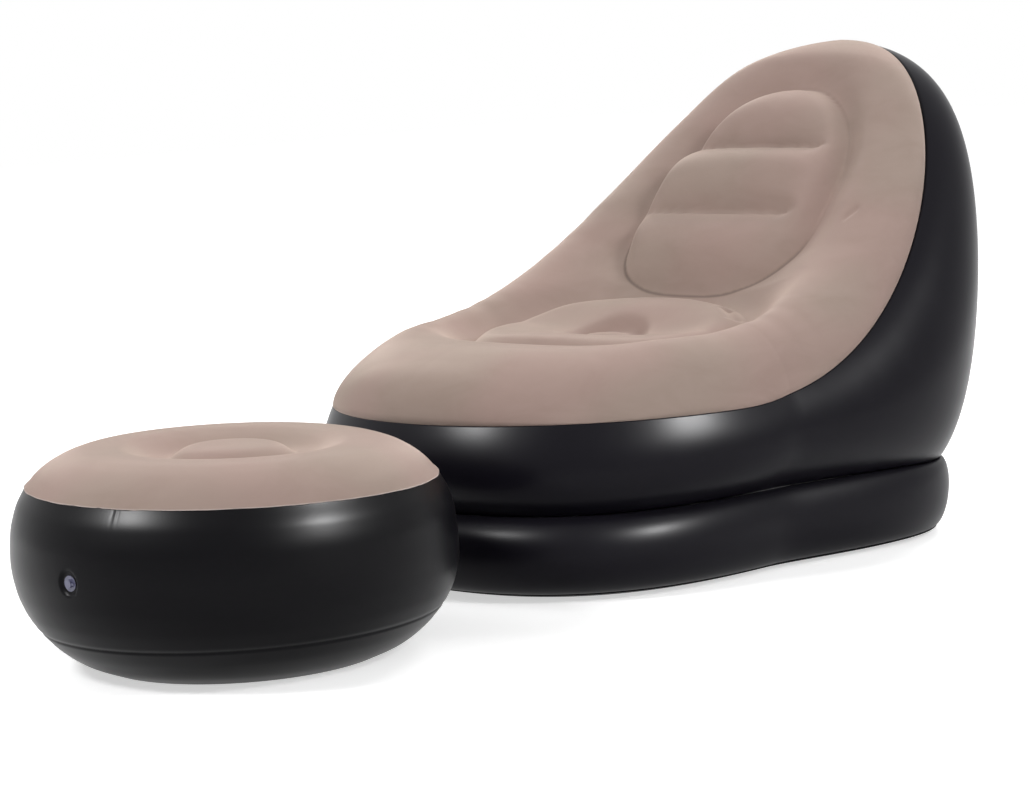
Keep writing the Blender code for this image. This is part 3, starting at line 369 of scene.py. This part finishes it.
def pad_relief(x, y):
    """What the pads, their grooves, the creases and the dimple add to the top sheet."""
    seat, back = seat_place(x, y), back_place(x, y)
    seat_edge, back_edge = (seat - 1) * SEAT_HALF_LENGTH, (back - 1) * BACK_HALF_WIDTH
    height = np.clip((y - BACK_BOTTOM) / (BACK_TOP - BACK_BOTTOM), 0, 1)
    ends = 1 + SEAT_END_SINK * smoother((np.abs(x) / SEAT_HALF_WIDTH - 0.5) / 0.5)
    back_share = BACK_SINK_FLOOR + (1 - BACK_SINK_FLOOR) * smoother(height * 2)
    z = -np.maximum(SEAT_SINK * ends * sink(seat_edge), BACK_SINK * back_share * sink(back_edge))
    middle = np.hypot(x, y - SEAT_CENTRE)
    z = z + SEAT_CROWN * np.clip(1 - seat ** SEAT_SQUARENESS, 0, 1) ** SEAT_STEEPNESS
    ring = bump(middle - DIMPLE_RADIUS, DIMPLE_WIDTH)
    z = z - DIMPLE_DEPTH * np.where(middle > DIMPLE_RADIUS, ring, DIMPLE_FLOOR + (1 - DIMPLE_FLOOR) * ring)
    for mark in PUCKERS:
        z = z - pucker(x, y, *mark)
    width = BACK_HALF_WIDTH * (1 - BACK_TAPER * (2 * height - 1))
    pad = np.clip(1 - back ** BACK_SQUARENESS, 0, 1) ** BACK_STEEPNESS
    return z + BACK_CROWN * pad * (CREASE_FLOOR + (1 - CREASE_FLOOR) * lobed(y, (x - BACK_SHIFT) / width))


def welds(out, angle):
    """The distance from the pads' weld lines, and how dark they are there: crushed pile and painted crease
    shade.
    """
    x, y, _, _ = plain_top(out, angle)
    seat_edge = (seat_place(x, y) - 1) * SEAT_HALF_LENGTH
    back_edge = (back_place(x, y) - 1) * BACK_HALF_WIDTH - WELD_WIDTH / 2
    # The seat pad's ends and the low lobe add painted crease shade to the crushed pile
    seat_end = smoother((np.abs(x) / SEAT_HALF_WIDTH - SEAT_CREASE_SHADE_START) / SEAT_CREASE_SHADE_RUN)
    low_lobe = smoother((BACK_BOTTOM + LOBE_CREASE_SHADE_HEIGHT - y) / LOBE_CREASE_SHADE_RUN)
    seat_crush_and_shade = LEAST_CRUSH + SEAT_CREASE_SHADE * seat_end
    back_crush_and_shade = LEAST_CRUSH + LOBE_CREASE_SHADE * low_lobe
    nearer = np.abs(seat_edge) < np.abs(back_edge)
    return np.where(nearer, seat_edge, back_edge), np.where(nearer, seat_crush_and_shade, back_crush_and_shade)


SEAM_TABLE = np.linspace(-pi, pi, 2881)
SEAM_BEARINGS = np.unwrap(np.arctan2(seam_plan(SEAM_TABLE)[0], -seam_plan(SEAM_TABLE)[1]))


def seam_angle(x, y):
    """The outlines' angle for a direction from the middle."""
    return np.interp(np.arctan2(x, -y), SEAM_BEARINGS, SEAM_TABLE)


def plain_height(x, y):
    """The top without its pads over a place in plan."""
    angle = seam_angle(x, y)
    ex, ey = seam_plan(angle)
    return plain_top(np.clip(np.hypot(x, y) / np.hypot(ex, ey), 0, 1), angle)[2]


def top_sheet(out, angle):
    """The flocked top. The pads stand out along the plain top's own normal."""
    x, y, z, t = plain_top(out, angle)
    step = NORMAL_STEP
    slope_x = (plain_height(x + step, y) - plain_height(x - step, y)) / (2 * step)
    slope_y = (plain_height(x, y + step) - plain_height(x, y - step)) / (2 * step)
    relief = pad_relief(x, y) * smoother(t / RELIEF_RUN) / np.sqrt(1 + slope_x ** 2 + slope_y ** 2)
    return x - slope_x * relief, y - slope_y * relief, z + relief


def plain_top(out, angle):
    """The top without its pads, at a share out of the way from the middle to the seam."""
    ex, ey = seam_plan(angle)
    ez = seam_height(angle)
    x, y = ex * out, ey * out
    centre = SEAM_TOP_HEIGHT * monotone([reach_of(share) for share in CENTRE_REACHES], CENTRE_HEIGHTS, y)
    rise = ARM_RISE * monotone([reach_of(share) for share in ARM_REACHES], ARM_SHARES, y)
    inner = centre + rise * smoother((np.abs(x) / SEAM_HALF_WIDTH - ARM_START) / (ARM_CREST - ARM_START))
    width = monotone(np.radians((0, 90, 135, 180)), ROLL_WIDTHS, turn(angle))
    t = np.clip((1 - out) * np.hypot(ex, ey) / width, 0, 1)
    roll_over = (1 - (1 - t) ** ROLL_POWER) ** (1 / ROLL_POWER)
    return x, y, ez + (inner - ez) * roll_over, t


# Making pieces
def placed(name, mesh, material, body, node=None):
    piece = bpy.data.objects.new(name, mesh)
    bpy.context.scene.collection.objects.link(piece)
    piece.data.materials.append(material)
    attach(piece, body)
    if node:
        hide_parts(*([node] if isinstance(node, str) else node))
    return piece


def lofted(name, lines, material, body, node, closed_round=True, cap=None, lip=False):
    """A sheet over lines of points, each an (n, 3) array. Lines that close meet in one column."""
    lines = [np.asarray(line, float) for line in lines]
    across = len(lines[0])
    columns = across + 1 if closed_round else across
    bm = bmesh.new()
    bmesh.ops.create_grid(bm, x_segments=columns - 1, y_segments=len(lines) - 1, size=1.0)
    bm.verts.ensure_lookup_table()
    for row, line in enumerate(lines):
        for column in range(columns):
            bm.verts[row * columns + column].co = line[column % across]
    if lip:
        edge = bm.verts.layers.float.new("edge")
        for vert in list(bm.verts)[:columns]:
            vert[edge] = 1.0
    bmesh.ops.remove_doubles(bm, verts=bm.verts, dist=2e-5)
    if cap is not None:
        open_edges = [edge for edge in bm.edges if edge.is_boundary]
        rim = [edge for edge in open_edges if all(abs(vert.co.z - cap) < 1e-5 for vert in edge.verts)]
        bmesh.ops.contextual_create(bm, geom=rim)
    return sheet_piece(name, bm, material, body, node)


def sheet_piece(name, bm, material, body, node):
    """The bmesh as a piece, faces outwards, with the sheet's thickness added on the inside."""
    mesh = bpy.data.meshes.new(name)
    bm.to_mesh(mesh)
    bm.free()
    mesh.shade_smooth()
    piece = placed(name, mesh, material, body, node)
    sheet = piece.modifiers.new("Sheet thickness", "SOLIDIFY")
    sheet.thickness = SHEET
    sheet.offset = -1.0
    return piece


def rings(place, shares, angles):
    """Rings of points from place(angle, share), one for each share."""
    lines = []
    for share in shares:
        x, y, z = place(angles, share)
        lines.append(np.stack([x, y, z + 0.0 * x], axis=1))
    return lines


# Materials
def surface(name, colour, roughness):
    made = bpy.data.materials.new(name)
    made.use_nodes = True
    shader = made.node_tree.nodes["Principled BSDF"]
    shader.inputs["Base Color"].default_value = (*colour, 1.0)
    shader.inputs["Roughness"].default_value = roughness
    return made, made.node_tree.nodes, made.node_tree.links, shader


def noise(graph, links, scale, detail=2.0, roughness=0.5, distortion=0.0, stretch=None):
    coordinates = graph.new("ShaderNodeTexCoord")
    texture = graph.new("ShaderNodeTexNoise")
    texture.inputs["Scale"].default_value = scale
    texture.inputs["Detail"].default_value = detail
    texture.inputs["Roughness"].default_value = roughness
    texture.inputs["Distortion"].default_value = distortion
    source = coordinates.outputs["Object"]
    if stretch:
        mapping = graph.new("ShaderNodeMapping")
        mapping.inputs["Scale"].default_value = stretch
        links.new(source, mapping.inputs["Vector"])
        source = mapping.outputs["Vector"]
    links.new(source, texture.inputs["Vector"])
    return texture.outputs["Fac"]


def ramp(graph, links, source, stops):
    made = graph.new("ShaderNodeValToRGB")
    elements = made.color_ramp.elements
    while len(elements) < len(stops):
        elements.new(0.5)
    for element, (position, colour) in zip(elements, stops):
        element.position = position
        element.color = (*colour, 1.0)
    links.new(source, made.inputs["Fac"])
    return made.outputs["Color"]


def mixed(graph, links, blend, factor, first, second):
    """Two colours mixed. The factor and the second colour may be sockets or plain values."""
    made = graph.new("ShaderNodeMix")
    made.data_type = "RGBA"
    made.blend_type = blend
    if isinstance(factor, float):
        made.inputs["Factor"].default_value = factor
    else:
        links.new(factor, made.inputs["Factor"])
    links.new(first, made.inputs["A"])
    if isinstance(second, tuple):
        made.inputs["B"].default_value = (*second, 1.0)
    else:
        links.new(second, made.inputs["B"])
    return made.outputs["Result"]


def near_line(graph, links, gap):
    """1 on a weld line, 0 from WELD_WIDTH away on either side."""
    size = graph.new("ShaderNodeMath")
    size.operation = "ABSOLUTE"
    links.new(gap, size.inputs[0])
    made = graph.new("ShaderNodeMapRange")
    made.interpolation_type = "SMOOTHSTEP"
    made.inputs["From Min"].default_value = 0.0
    made.inputs["From Max"].default_value = WELD_WIDTH
    made.inputs["To Min"].default_value = 1.0
    made.inputs["To Max"].default_value = 0.0
    links.new(size.outputs["Value"], made.inputs["Value"])
    return made.outputs["Result"]


def flocked_vinyl():
    made, graph, links, shader = surface("Taupe flocked vinyl", (0.36, 0.27, 0.24), 0.95)
    brushed = noise(graph, links, 9.0, 4.0, 0.6, 0.6, (1.0, 1.0, 2.2))
    colour = ramp(graph, links, brushed, (
        (0.30, (0.330, 0.248, 0.215)), (0.52, (0.352, 0.266, 0.232)), (0.72, (0.366, 0.277, 0.242)),
    ))
    tint = ramp(graph, links, noise(graph, links, 5.0, 1.0, 0.4), (
        (0.38, (1.03, 0.985, 0.99)), (0.62, (0.985, 1.005, 0.985)),
    ))
    colour = mixed(graph, links, "MULTIPLY", 1.0, colour, tint)
    lip = graph.new("ShaderNodeAttribute")
    lip.attribute_name = "edge"
    colour = mixed(graph, links, "MIX", lip.outputs["Fac"], colour, (0.56, 0.47, 0.44))
    # Darker along the weld lines: crushed pile, and painted crease shade at the seat pad's ends and the low
    # lobe
    weld, crush_and_shade = (graph.new("ShaderNodeAttribute") for _ in range(2))
    weld.attribute_name, crush_and_shade.attribute_name = "weld", "crush_and_shade"
    crushed_and_shaded = graph.new("ShaderNodeMath")
    crushed_and_shaded.operation = "MULTIPLY"
    links.new(near_line(graph, links, weld.outputs["Fac"]), crushed_and_shaded.inputs[0])
    links.new(crush_and_shade.outputs["Fac"], crushed_and_shaded.inputs[1])
    colour = mixed(graph, links, "MIX", crushed_and_shaded.outputs["Value"], colour, (0.10, 0.072, 0.062))
    links.new(colour, shader.inputs["Base Color"])
    pile = noise(graph, links, 900.0, 3.0, 0.7)
    lift = graph.new("ShaderNodeBump")
    lift.inputs["Strength"].default_value = 0.35
    lift.inputs["Distance"].default_value = 0.0006
    links.new(pile, lift.inputs["Height"])
    links.new(lift.outputs["Normal"], shader.inputs["Normal"])
    shader.inputs["Sheen Weight"].default_value = 0.55
    shader.inputs["Sheen Roughness"].default_value = 0.42
    shader.inputs["Sheen Tint"].default_value = (1.0, 0.86, 0.76, 1.0)
    shader.inputs["Specular IOR Level"].default_value = 0.05
    return made


def dark_vinyl(name, colour, roughness):
    made, graph, links, shader = surface(name, colour, roughness)
    cloud = noise(graph, links, 14.0, 3.0, 0.5)
    rough = graph.new("ShaderNodeMapRange")
    rough.inputs["To Min"].default_value = roughness - 0.04
    rough.inputs["To Max"].default_value = roughness + 0.05
    links.new(cloud, rough.inputs["Value"])
    links.new(rough.outputs["Result"], shader.inputs["Roughness"])
    grain = noise(graph, links, 420.0, 3.0, 0.55)
    lift = graph.new("ShaderNodeBump")
    lift.inputs["Strength"].default_value = 0.10
    lift.inputs["Distance"].default_value = 0.0004
    links.new(grain, lift.inputs["Height"])
    links.new(lift.outputs["Normal"], shader.inputs["Normal"])
    shader.inputs["Specular IOR Level"].default_value = 0.09
    return made


def plain(name, colour, roughness):
    made, graph, links, shader = surface(name, colour, roughness)
    links.new(ramp(graph, links, noise(graph, links, 60.0, 3.0), (
        (0.3, tuple(c * 0.9 for c in colour)), (0.7, tuple(c * 1.1 for c in colour)),
    )), shader.inputs["Base Color"])
    return made


flocked = flocked_vinyl()
chair_vinyl = dark_vinyl("Charcoal satin vinyl", (0.0055, 0.0048, 0.0078), 0.31)
tube_vinyl = dark_vinyl("Charcoal vinyl of the base", (0.0055, 0.0048, 0.0078), 0.37)
# The chair's vinyl again, its colour darkened as painted shade for the darker reflections on the footstool
stool_vinyl = dark_vinyl("Footstool satin vinyl, painted darker", (0.0012, 0.0010, 0.0020), 0.33)
tie_vinyl = plain("Grey tie sheet", (0.22, 0.22, 0.23), 0.55)
valve_plastic = plain("Dark valve plastic", (0.03, 0.03, 0.034), 0.4)
clear_plastic = plain("Clear bluish valve plastic", (0.12, 0.12, 0.20), 0.10)

for name, node in nodes.items():
    if "diaphragm" in name:
        node.data.materials.clear()
        node.data.materials.append(tie_vinyl)
    elif name.startswith("chair_valve"):
        node.data.materials.clear()
        node.data.materials.append(valve_plastic)
    elif name.startswith("ottoman_valve"):
        node.data.materials.clear()
        node.data.materials.append(clear_plastic)


# Chair
def cover(name, count, place, material, body, node, spacing):
    """A sheet over a round or egg-shaped seam, from a square grid drawn into the round."""
    bm = bmesh.new()
    bmesh.ops.create_grid(bm, x_segments=count, y_segments=count, size=1.0)
    flat = np.array([vert.co[:2] for vert in bm.verts])
    u, v = flat[:, 0], flat[:, 1]
    x, y = u * np.sqrt(1 - v * v / 2), v * np.sqrt(1 - u * u / 2)
    out = np.clip(np.hypot(x, y), 0, 1)
    angle = np.arctan2(x, -y)
    reach = 1 - (1 - out) ** spacing
    points = np.stack(place(angle, reach), axis=1)
    # The weld distance and its darkening, crushed pile with painted crease shade
    weld, crush_and_shade = bm.verts.layers.float.new("weld"), bm.verts.layers.float.new("crush_and_shade")
    for vert, point, gap, strength in zip(bm.verts, points, *welds(reach, angle)):
        vert.co = point
        vert[weld] = gap
        vert[crush_and_shade] = strength
    add_flange(bm, chair_flange)
    return sheet_piece(name, bm, material, body, node)


def add_flange(bm, direction):
    """The cut edge of the weld, a thin lip round the sheet. The edge attribute is 1 on it."""
    edge = bm.verts.layers.float.new("edge")
    rim = [e for e in bm.edges if e.is_boundary]
    made = bmesh.ops.extrude_edge_only(bm, edges=rim)
    lip = [item for item in made["geom"] if isinstance(item, bmesh.types.BMVert)]
    moves = direction(np.array([vert.co for vert in lip]))
    for vert, move in zip(lip, moves):
        vert.co += Vector(move) * FLANGE
        vert[edge] = 1.0


def chair_flange(points):
    """The direction halfway between the ends of the top sheet and the side wall."""
    angle = seam_angle(points[:, 0], points[:, 1])
    total = 0.0
    for sheet in (lambda share: top_sheet(share, angle), lambda share: side_wall(angle, share)):
        end, before = np.stack(sheet(1.0), axis=1), np.stack(sheet(0.985), axis=1)
        step = end - before
        total = total + step / np.linalg.norm(step, axis=1)[:, None]
    return total / np.linalg.norm(total, axis=1)[:, None]


SIDES = np.linspace(0, 2 * pi, 320, endpoint=False)
top = cover(
    "chair_top", 340, lambda angle, out: top_sheet(out, angle),
    flocked, "chair", "chair_top_panel", 1.12,
)
side = lofted(
    "chair_side", rings(side_wall, np.linspace(0.002, 0.999, 72), SIDES),
    chair_vinyl, "chair", "chair_side_wall",
)


def tube_lip(angle, share):
    """The weld at the tube's foot stands out a little."""
    x, y, z = base_tube(angle, 0.0)
    nx, ny = outward(waist_plan, angle)
    return x + nx * TUBE_LIP * share, y + ny * TUBE_LIP * share, z - TUBE_LIP_DROP * share


tube = lofted(
    "chair_base_tube",
    rings(tube_lip, (1.0, 0.7), SIDES) + rings(base_tube, (1 - np.cos(np.linspace(0, pi, 40))) / 2, SIDES),
    tube_vinyl, "chair", "chair_base_wall",
)


def bottom_edge(angle, share):
    """The bottom sheet's rim, from the floor at 0 up to its weld at 1."""
    x, y, _ = base_tube(angle, 0.0)
    nx, ny = outward(waist_plan, angle)
    back = BOTTOM_EDGE_WIDTH * (1 - share)
    return x - nx * back, y - ny * back, BOTTOM_SEAM_HEIGHT * share ** 2.5


bottom = lofted(
    "chair_bottom", rings(bottom_edge, (0.0, 0.2, 0.4, 0.6, 0.75, 0.88, 1.0), SIDES),
    tube_vinyl, "chair", "chair_bottom_sheet", cap=0.0,
)


# Chair ties, up to just under the top
TIE_GAP = 0.0045
TIE_FOOT = WAIST_HEIGHT + 0.0015
TIE_REAR = 0.470
# Rays that feel for the top start at this height, this far to each side
FEEL_START = 0.13
FEEL_SIDE = 0.004


def under(piece, x, y):
    """The lowest height of a piece's outer face near a place in plan."""
    mesh = piece.data
    tree = BVHTree.FromPolygons([v.co for v in mesh.vertices], [p.vertices[:] for p in mesh.polygons])
    aside = (-FEEL_SIDE, 0, FEEL_SIDE)
    heights = []
    for px, py in zip(x, y):
        near = [(px + dx, py + dy, FEEL_START) for dx in aside for dy in aside]
        heights.append(min(tree.ray_cast(Vector(start), Vector((0, 0, 1)))[0].z for start in near))
    return np.array(heights)


def tie(name, points, closed, foot, cover_piece, body, node):
    """An upright inner sheet along points in plan, from its foot to just under the top."""
    points = np.asarray(points, float)
    top_line = np.column_stack([points, under(cover_piece, *points.T) - TIE_GAP])
    foot_heights = np.full(len(points), foot)
    foot_line = np.column_stack([points[:, 0], np.minimum(points[:, 1], TIE_REAR), foot_heights])
    lines = [foot_line, (foot_line + top_line) / 2, top_line]
    return lofted(name, lines, tie_vinyl, body, node, closed_round=closed)


def pad_line(place, centre, count):
    """The points of a pad's groove, on rays from its middle."""
    points = []
    for bearing in np.linspace(0, 2 * pi, count, endpoint=False):
        reach = np.linspace(0.02, 0.4, 1600)
        x, y = reach * np.sin(bearing), centre + reach * np.cos(bearing)
        last = int(np.argmax(place(x, y) > 1))
        points.append((x[last], y[last]))
    return points


turned_round = np.linspace(0, 2 * pi, 48, endpoint=False)
tie(
    "chair_seat_tie", pad_line(seat_place, SEAT_CENTRE, 120),
    True, TIE_FOOT, top, "chair", "chair_seat_ring_tie",
)
dimple_x, dimple_y = DIMPLE_RADIUS * np.sin(turned_round), SEAT_CENTRE + DIMPLE_RADIUS * np.cos(turned_round)
tie(
    "chair_dimple_tie", np.column_stack([dimple_x, dimple_y]),
    True, TIE_FOOT, top, "chair", "chair_seat_centre_tie",
)
tie(
    "chair_back_tie", pad_line(back_place, (BACK_TOP + BACK_BOTTOM) / 2, 120),
    True, TIE_FOOT, top, "chair", "chair_back_ring_tie",
)
for name, y in zip(("lower", "upper"), CREASES):
    reach = np.linspace(0, 0.25, 500)
    half = reach[int(np.argmax(back_place(reach, y + 0 * reach) > 1))] - 0.004
    across = np.linspace(-half, half, 60)
    tie(
        "chair_" + name + "_crease_tie", np.column_stack([across, y + 0 * across]),
        False, TIE_FOOT, top, "chair", "chair_back_" + name + "_tie",
    )


# Footstool. Bearings are measured from +X, anticlockwise from above.
VALVE_BEARING = radians(-84)
VALVE_HEIGHT = 0.1505
RECESS_RADIUS = 0.0120
RECESS_DEPTH = 0.0040
RECESS_RUN = 0.007
FOLD_LENGTH = 0.020
# Each fold's bearing, depth and half-width
FOLDS = (
    (radians(-71.4), 0.0003, 0.0060),
    (radians(-70.4), -0.0003, 0.0050),
    (radians(-69.6), 0.0002, 0.0050),
)


def lean(side):
    """How much the footstool's top leans down towards +X and the chair."""
    return STOOL_RISE - STOOL_LEAN * side - STOOL_SAG * np.clip(side, 0, None) ** 2


def stool_ring(place):
    """Points round the footstool from place(share), with its lean and its slacker side."""
    def at(bearing, share):
        radius, height = place(share)
        flat = smoother(np.cos(bearing - turned)) * float(monotone(SLACK_HEIGHTS, SLACKS, height))
        x, y = (radius - flat) * np.cos(bearing), (radius - flat) * np.sin(bearing)
        side = x * cos(turned) + y * sin(turned)
        rise = smoother((height - 0.5 * UPPER_SEAM_HEIGHT) / (0.6 * UPPER_SEAM_HEIGHT))
        return STOOL.x + x, STOOL.y + y, height + rise * lean(side)
    return at


def stool_wall(t):
    """Radius and height at a share t of the way from the lower seam up to the upper."""
    out = STOOL_BULGE * float(monotone(WALL_STATIONS, WALL_SHARES, t))
    radius = LOWER_SEAM_RADIUS + (UPPER_SEAM_RADIUS - LOWER_SEAM_RADIUS) * t + out
    drop = (UPPER_SEAM_HEIGHT - LOWER_SEAM_HEIGHT) * t
    return radius - SEAM_TUCK * float(bump(drop, SEAM_TUCK_WIDTH)), LOWER_SEAM_HEIGHT + drop


def stool_side_at(bearing, t):
    """The wall with the dip round its valve and the small folds under its upper seam."""
    x, y, z = stool_ring(stool_wall)(bearing, t)
    radius, height = stool_wall(t)
    around = radius * ((bearing - VALVE_BEARING + pi) % (2 * pi) - pi)
    away = np.hypot(around, height - VALVE_HEIGHT)
    dip = RECESS_DEPTH * (1 - smoother((away - RECESS_RADIUS) / RECESS_RUN))
    below = (UPPER_SEAM_HEIGHT - height) / FOLD_LENGTH
    for fold, depth, width in FOLDS:
        dip = dip + depth * bump(radius * (bearing - fold), width * (0.25 + 0.3 * below)) * bump(below, 0.9)
    return x - dip * np.cos(bearing), y - dip * np.sin(bearing), z


def stool_top(r):
    """Radius and height of the flocked top, a radius r from the footstool's middle."""
    if r > CREST_RADIUS:
        t = (r - CREST_RADIUS) / (UPPER_SEAM_RADIUS - CREST_RADIUS)
        share = float(monotone(ROLL_STATIONS, ROLL_SHARES, t))
        return r, UPPER_SEAM_HEIGHT + (CREST_HEIGHT - UPPER_SEAM_HEIGHT) * share
    inward = float(smoother(1 - r / CREST_RADIUS))
    groove = GROOVE_DEPTH * float(bump(r - GROOVE_RADIUS, GROOVE_WIDTH if r > GROOVE_RADIUS else MOUND_WIDTH))
    edge = float(smoother((CREST_RADIUS - r) / GROOVE_WIDTH))
    return r, CREST_HEIGHT - CENTRE_DROP * inward - groove * edge


def stool_foot(share):
    """Radius and height from the floor contact, at 0, up to the lower seam, at 1."""
    reach = float(monotone(FOOT_STATIONS, FOOT_REACHES, share))
    rise = float(monotone(FOOT_STATIONS, FOOT_RISES, share))
    tuck = SEAM_TUCK * float(bump((1 - share) * 0.1, SEAM_TUCK_WIDTH))
    return FOOT_RADIUS + (LOWER_SEAM_RADIUS - FOOT_RADIUS) * reach - tuck, LOWER_SEAM_HEIGHT * rise


def stool_lip(bearing, share):
    """The weld's cut edge round the top, uneven beside the folds."""
    x, y, z = stool_ring(stool_top)(bearing, UPPER_SEAM_RADIUS)
    reach = FLANGE * share * (1 + 0.35 * np.sin(7 * bearing) * np.sin(23 * bearing + 1))
    uneven = 0.0012 * bump(bearing - radians(-76.5), 0.012) - 0.0010 * bump(bearing - radians(-65.5), 0.014)
    return x + reach * np.cos(bearing), y + reach * np.sin(bearing), z - 0.25 * reach + uneven * share


bearings = np.unique(np.concatenate([
    np.linspace(-pi, pi, 260, endpoint=False),
    VALVE_BEARING + np.linspace(-0.07, 0.07, 29),
    radians(-70.5) + np.linspace(-0.06, 0.06, 49),
]))
roll_radii = CREST_RADIUS + (UPPER_SEAM_RADIUS - CREST_RADIUS) * np.sin(pi / 2 * np.linspace(1, 0, 28))
inner_radii = np.linspace(CREST_RADIUS, 0, 70)[1:]
stool_lines = rings(stool_lip, (1.0,), bearings)
stool_lines += rings(stool_ring(stool_top), np.concatenate([roll_radii, inner_radii]), bearings)
stool_cover = lofted(
    "footstool_top", stool_lines, flocked, "ottoman", "ottoman_top_panel", lip=True,
)
valve_share = (VALVE_HEIGHT - LOWER_SEAM_HEIGHT) / (UPPER_SEAM_HEIGHT - LOWER_SEAM_HEIGHT)
wall_shares = np.unique(np.concatenate([
    (1 - np.cos(np.linspace(0, pi, 64))) / 2, valve_share + np.linspace(-0.11, 0.11, 17),
]))
stool_side = lofted(
    "footstool_side", rings(stool_side_at, wall_shares, bearings),
    stool_vinyl, "ottoman", "ottoman_side_wall",
)
stool_base = lofted(
    "footstool_foot", rings(stool_ring(stool_foot), np.sin(pi / 2 * np.linspace(0, 1, 32)), bearings),
    stool_vinyl, "ottoman", "ottoman_bottom_sheet", cap=0.0,
)

for name, node, radius in (
    ("ring", "ottoman_ring_tie", GROOVE_RADIUS), ("dimple", "ottoman_centre_tie", CENTRE_TIE_RADIUS),
):
    tie(
        "footstool_" + name + "_tie",
        np.column_stack([STOOL.x + radius * np.cos(turned_round), STOOL.y + radius * np.sin(turned_round)]),
        True, STOOL_TIE_FOOT, stool_cover, "ottoman", node,
    )


# Floor, world and lamps
def show_white(graph, links):
    """A factor that is 1 where the camera, a reflection or a view through glass looks straight at it."""
    path = graph.new("ShaderNodeLightPath")
    most = path.outputs["Is Camera Ray"]
    for name in ("Is Glossy Ray", "Is Transmission Ray"):
        greater = graph.new("ShaderNodeMath")
        greater.operation = "MAXIMUM"
        links.new(most, greater.inputs[0])
        links.new(path.outputs[name], greater.inputs[1])
        most = greater.outputs["Value"]
    return most


world = bpy.data.worlds.new("Studio")
bpy.context.scene.world = world
world.use_nodes = True
graph, links = world.node_tree.nodes, world.node_tree.links
background = graph["Background"]
seen = show_white(graph, links)
strength = graph.new("ShaderNodeMapRange")
strength.inputs["To Min"].default_value = 0.32
strength.inputs["To Max"].default_value = 1.0
links.new(seen, strength.inputs["Value"])
links.new(strength.outputs["Result"], background.inputs["Strength"])
background.inputs["Color"].default_value = (1.0, 1.0, 1.0, 1.0)

bm = bmesh.new()
bmesh.ops.create_grid(bm, x_segments=1, y_segments=1, size=14.0)
floor_mesh = bpy.data.meshes.new("Floor")
bm.to_mesh(floor_mesh)
bm.free()
floor = bpy.data.objects.new("Floor", floor_mesh)
bpy.context.scene.collection.objects.link(floor)
floor_paint = bpy.data.materials.new("White floor")
floor_paint.use_nodes = True
graph, links = floor_paint.node_tree.nodes, floor_paint.node_tree.links
paint = graph["Principled BSDF"]
paint.inputs["Base Color"].default_value = (0.78, 0.78, 0.78, 1.0)
paint.inputs["Roughness"].default_value = 0.9
paint.inputs["Specular IOR Level"].default_value = 0.0
glow = graph.new("ShaderNodeEmission")
place = graph.new("ShaderNodeTexCoord")
reach = graph.new("ShaderNodeVectorMath")
reach.operation = "LENGTH"
links.new(place.outputs["Object"], reach.inputs[0])
spread = graph.new("ShaderNodeMapRange")
spread.interpolation_type = "SMOOTHSTEP"
spread.inputs["From Min"].default_value = 1.2
spread.inputs["From Max"].default_value = 3.2
spread.inputs["To Min"].default_value = 0.56
spread.inputs["To Max"].default_value = 0.90
links.new(reach.outputs["Value"], spread.inputs["Value"])
share = graph.new("ShaderNodeMath")
share.operation = "MULTIPLY"
links.new(spread.outputs["Result"], share.inputs[1])
links.new(show_white(graph, links), share.inputs[0])
links.new(share.outputs["Value"], glow.inputs["Strength"])
both = graph.new("ShaderNodeAddShader")
links.new(paint.outputs["BSDF"], both.inputs[0])
links.new(glow.outputs["Emission"], both.inputs[1])
links.new(both.outputs["Shader"], graph["Material Output"].inputs["Surface"])
floor.data.materials.append(floor_paint)


def softbox(name, place, target, width, height, power):
    lamp = bpy.data.lights.new(name, "AREA")
    lamp.shape = "RECTANGLE"
    lamp.size = width
    lamp.size_y = height
    lamp.energy = power
    holder = bpy.data.objects.new(name, lamp)
    bpy.context.scene.collection.objects.link(holder)
    holder.location = place
    holder.rotation_euler = (Vector(target) - Vector(place)).to_track_quat("-Z", "Y").to_euler()
    return holder


for name, place, size, power in (
    ("Front high", (-0.75, -3.35, 3.0), 0.8, 76),
    ("Side high", (3.35, 0.2, 2.4), 0.8, 56),
    ("Back high", (-0.6, 3.0, 3.0), 1.6, 112),
    ("Left high", (-3.0, -1.2, 2.6), 1.2, 24),
):
    lamp = softbox(name, place, (0.1, -0.3, 0.2), size, size, power)
    lamp.visible_glossy = False
for name, place, width, power in (
    ("Front gloss", (-0.75, -3.35, 3.0), 0.9, 340), ("Side gloss", (3.35, 0.2, 2.4), 0.8, 440),
):
    gloss = softbox(name, place, (0.2, -0.45, 0.2), width, 0.8, power)
    gloss.visible_diffuse = False
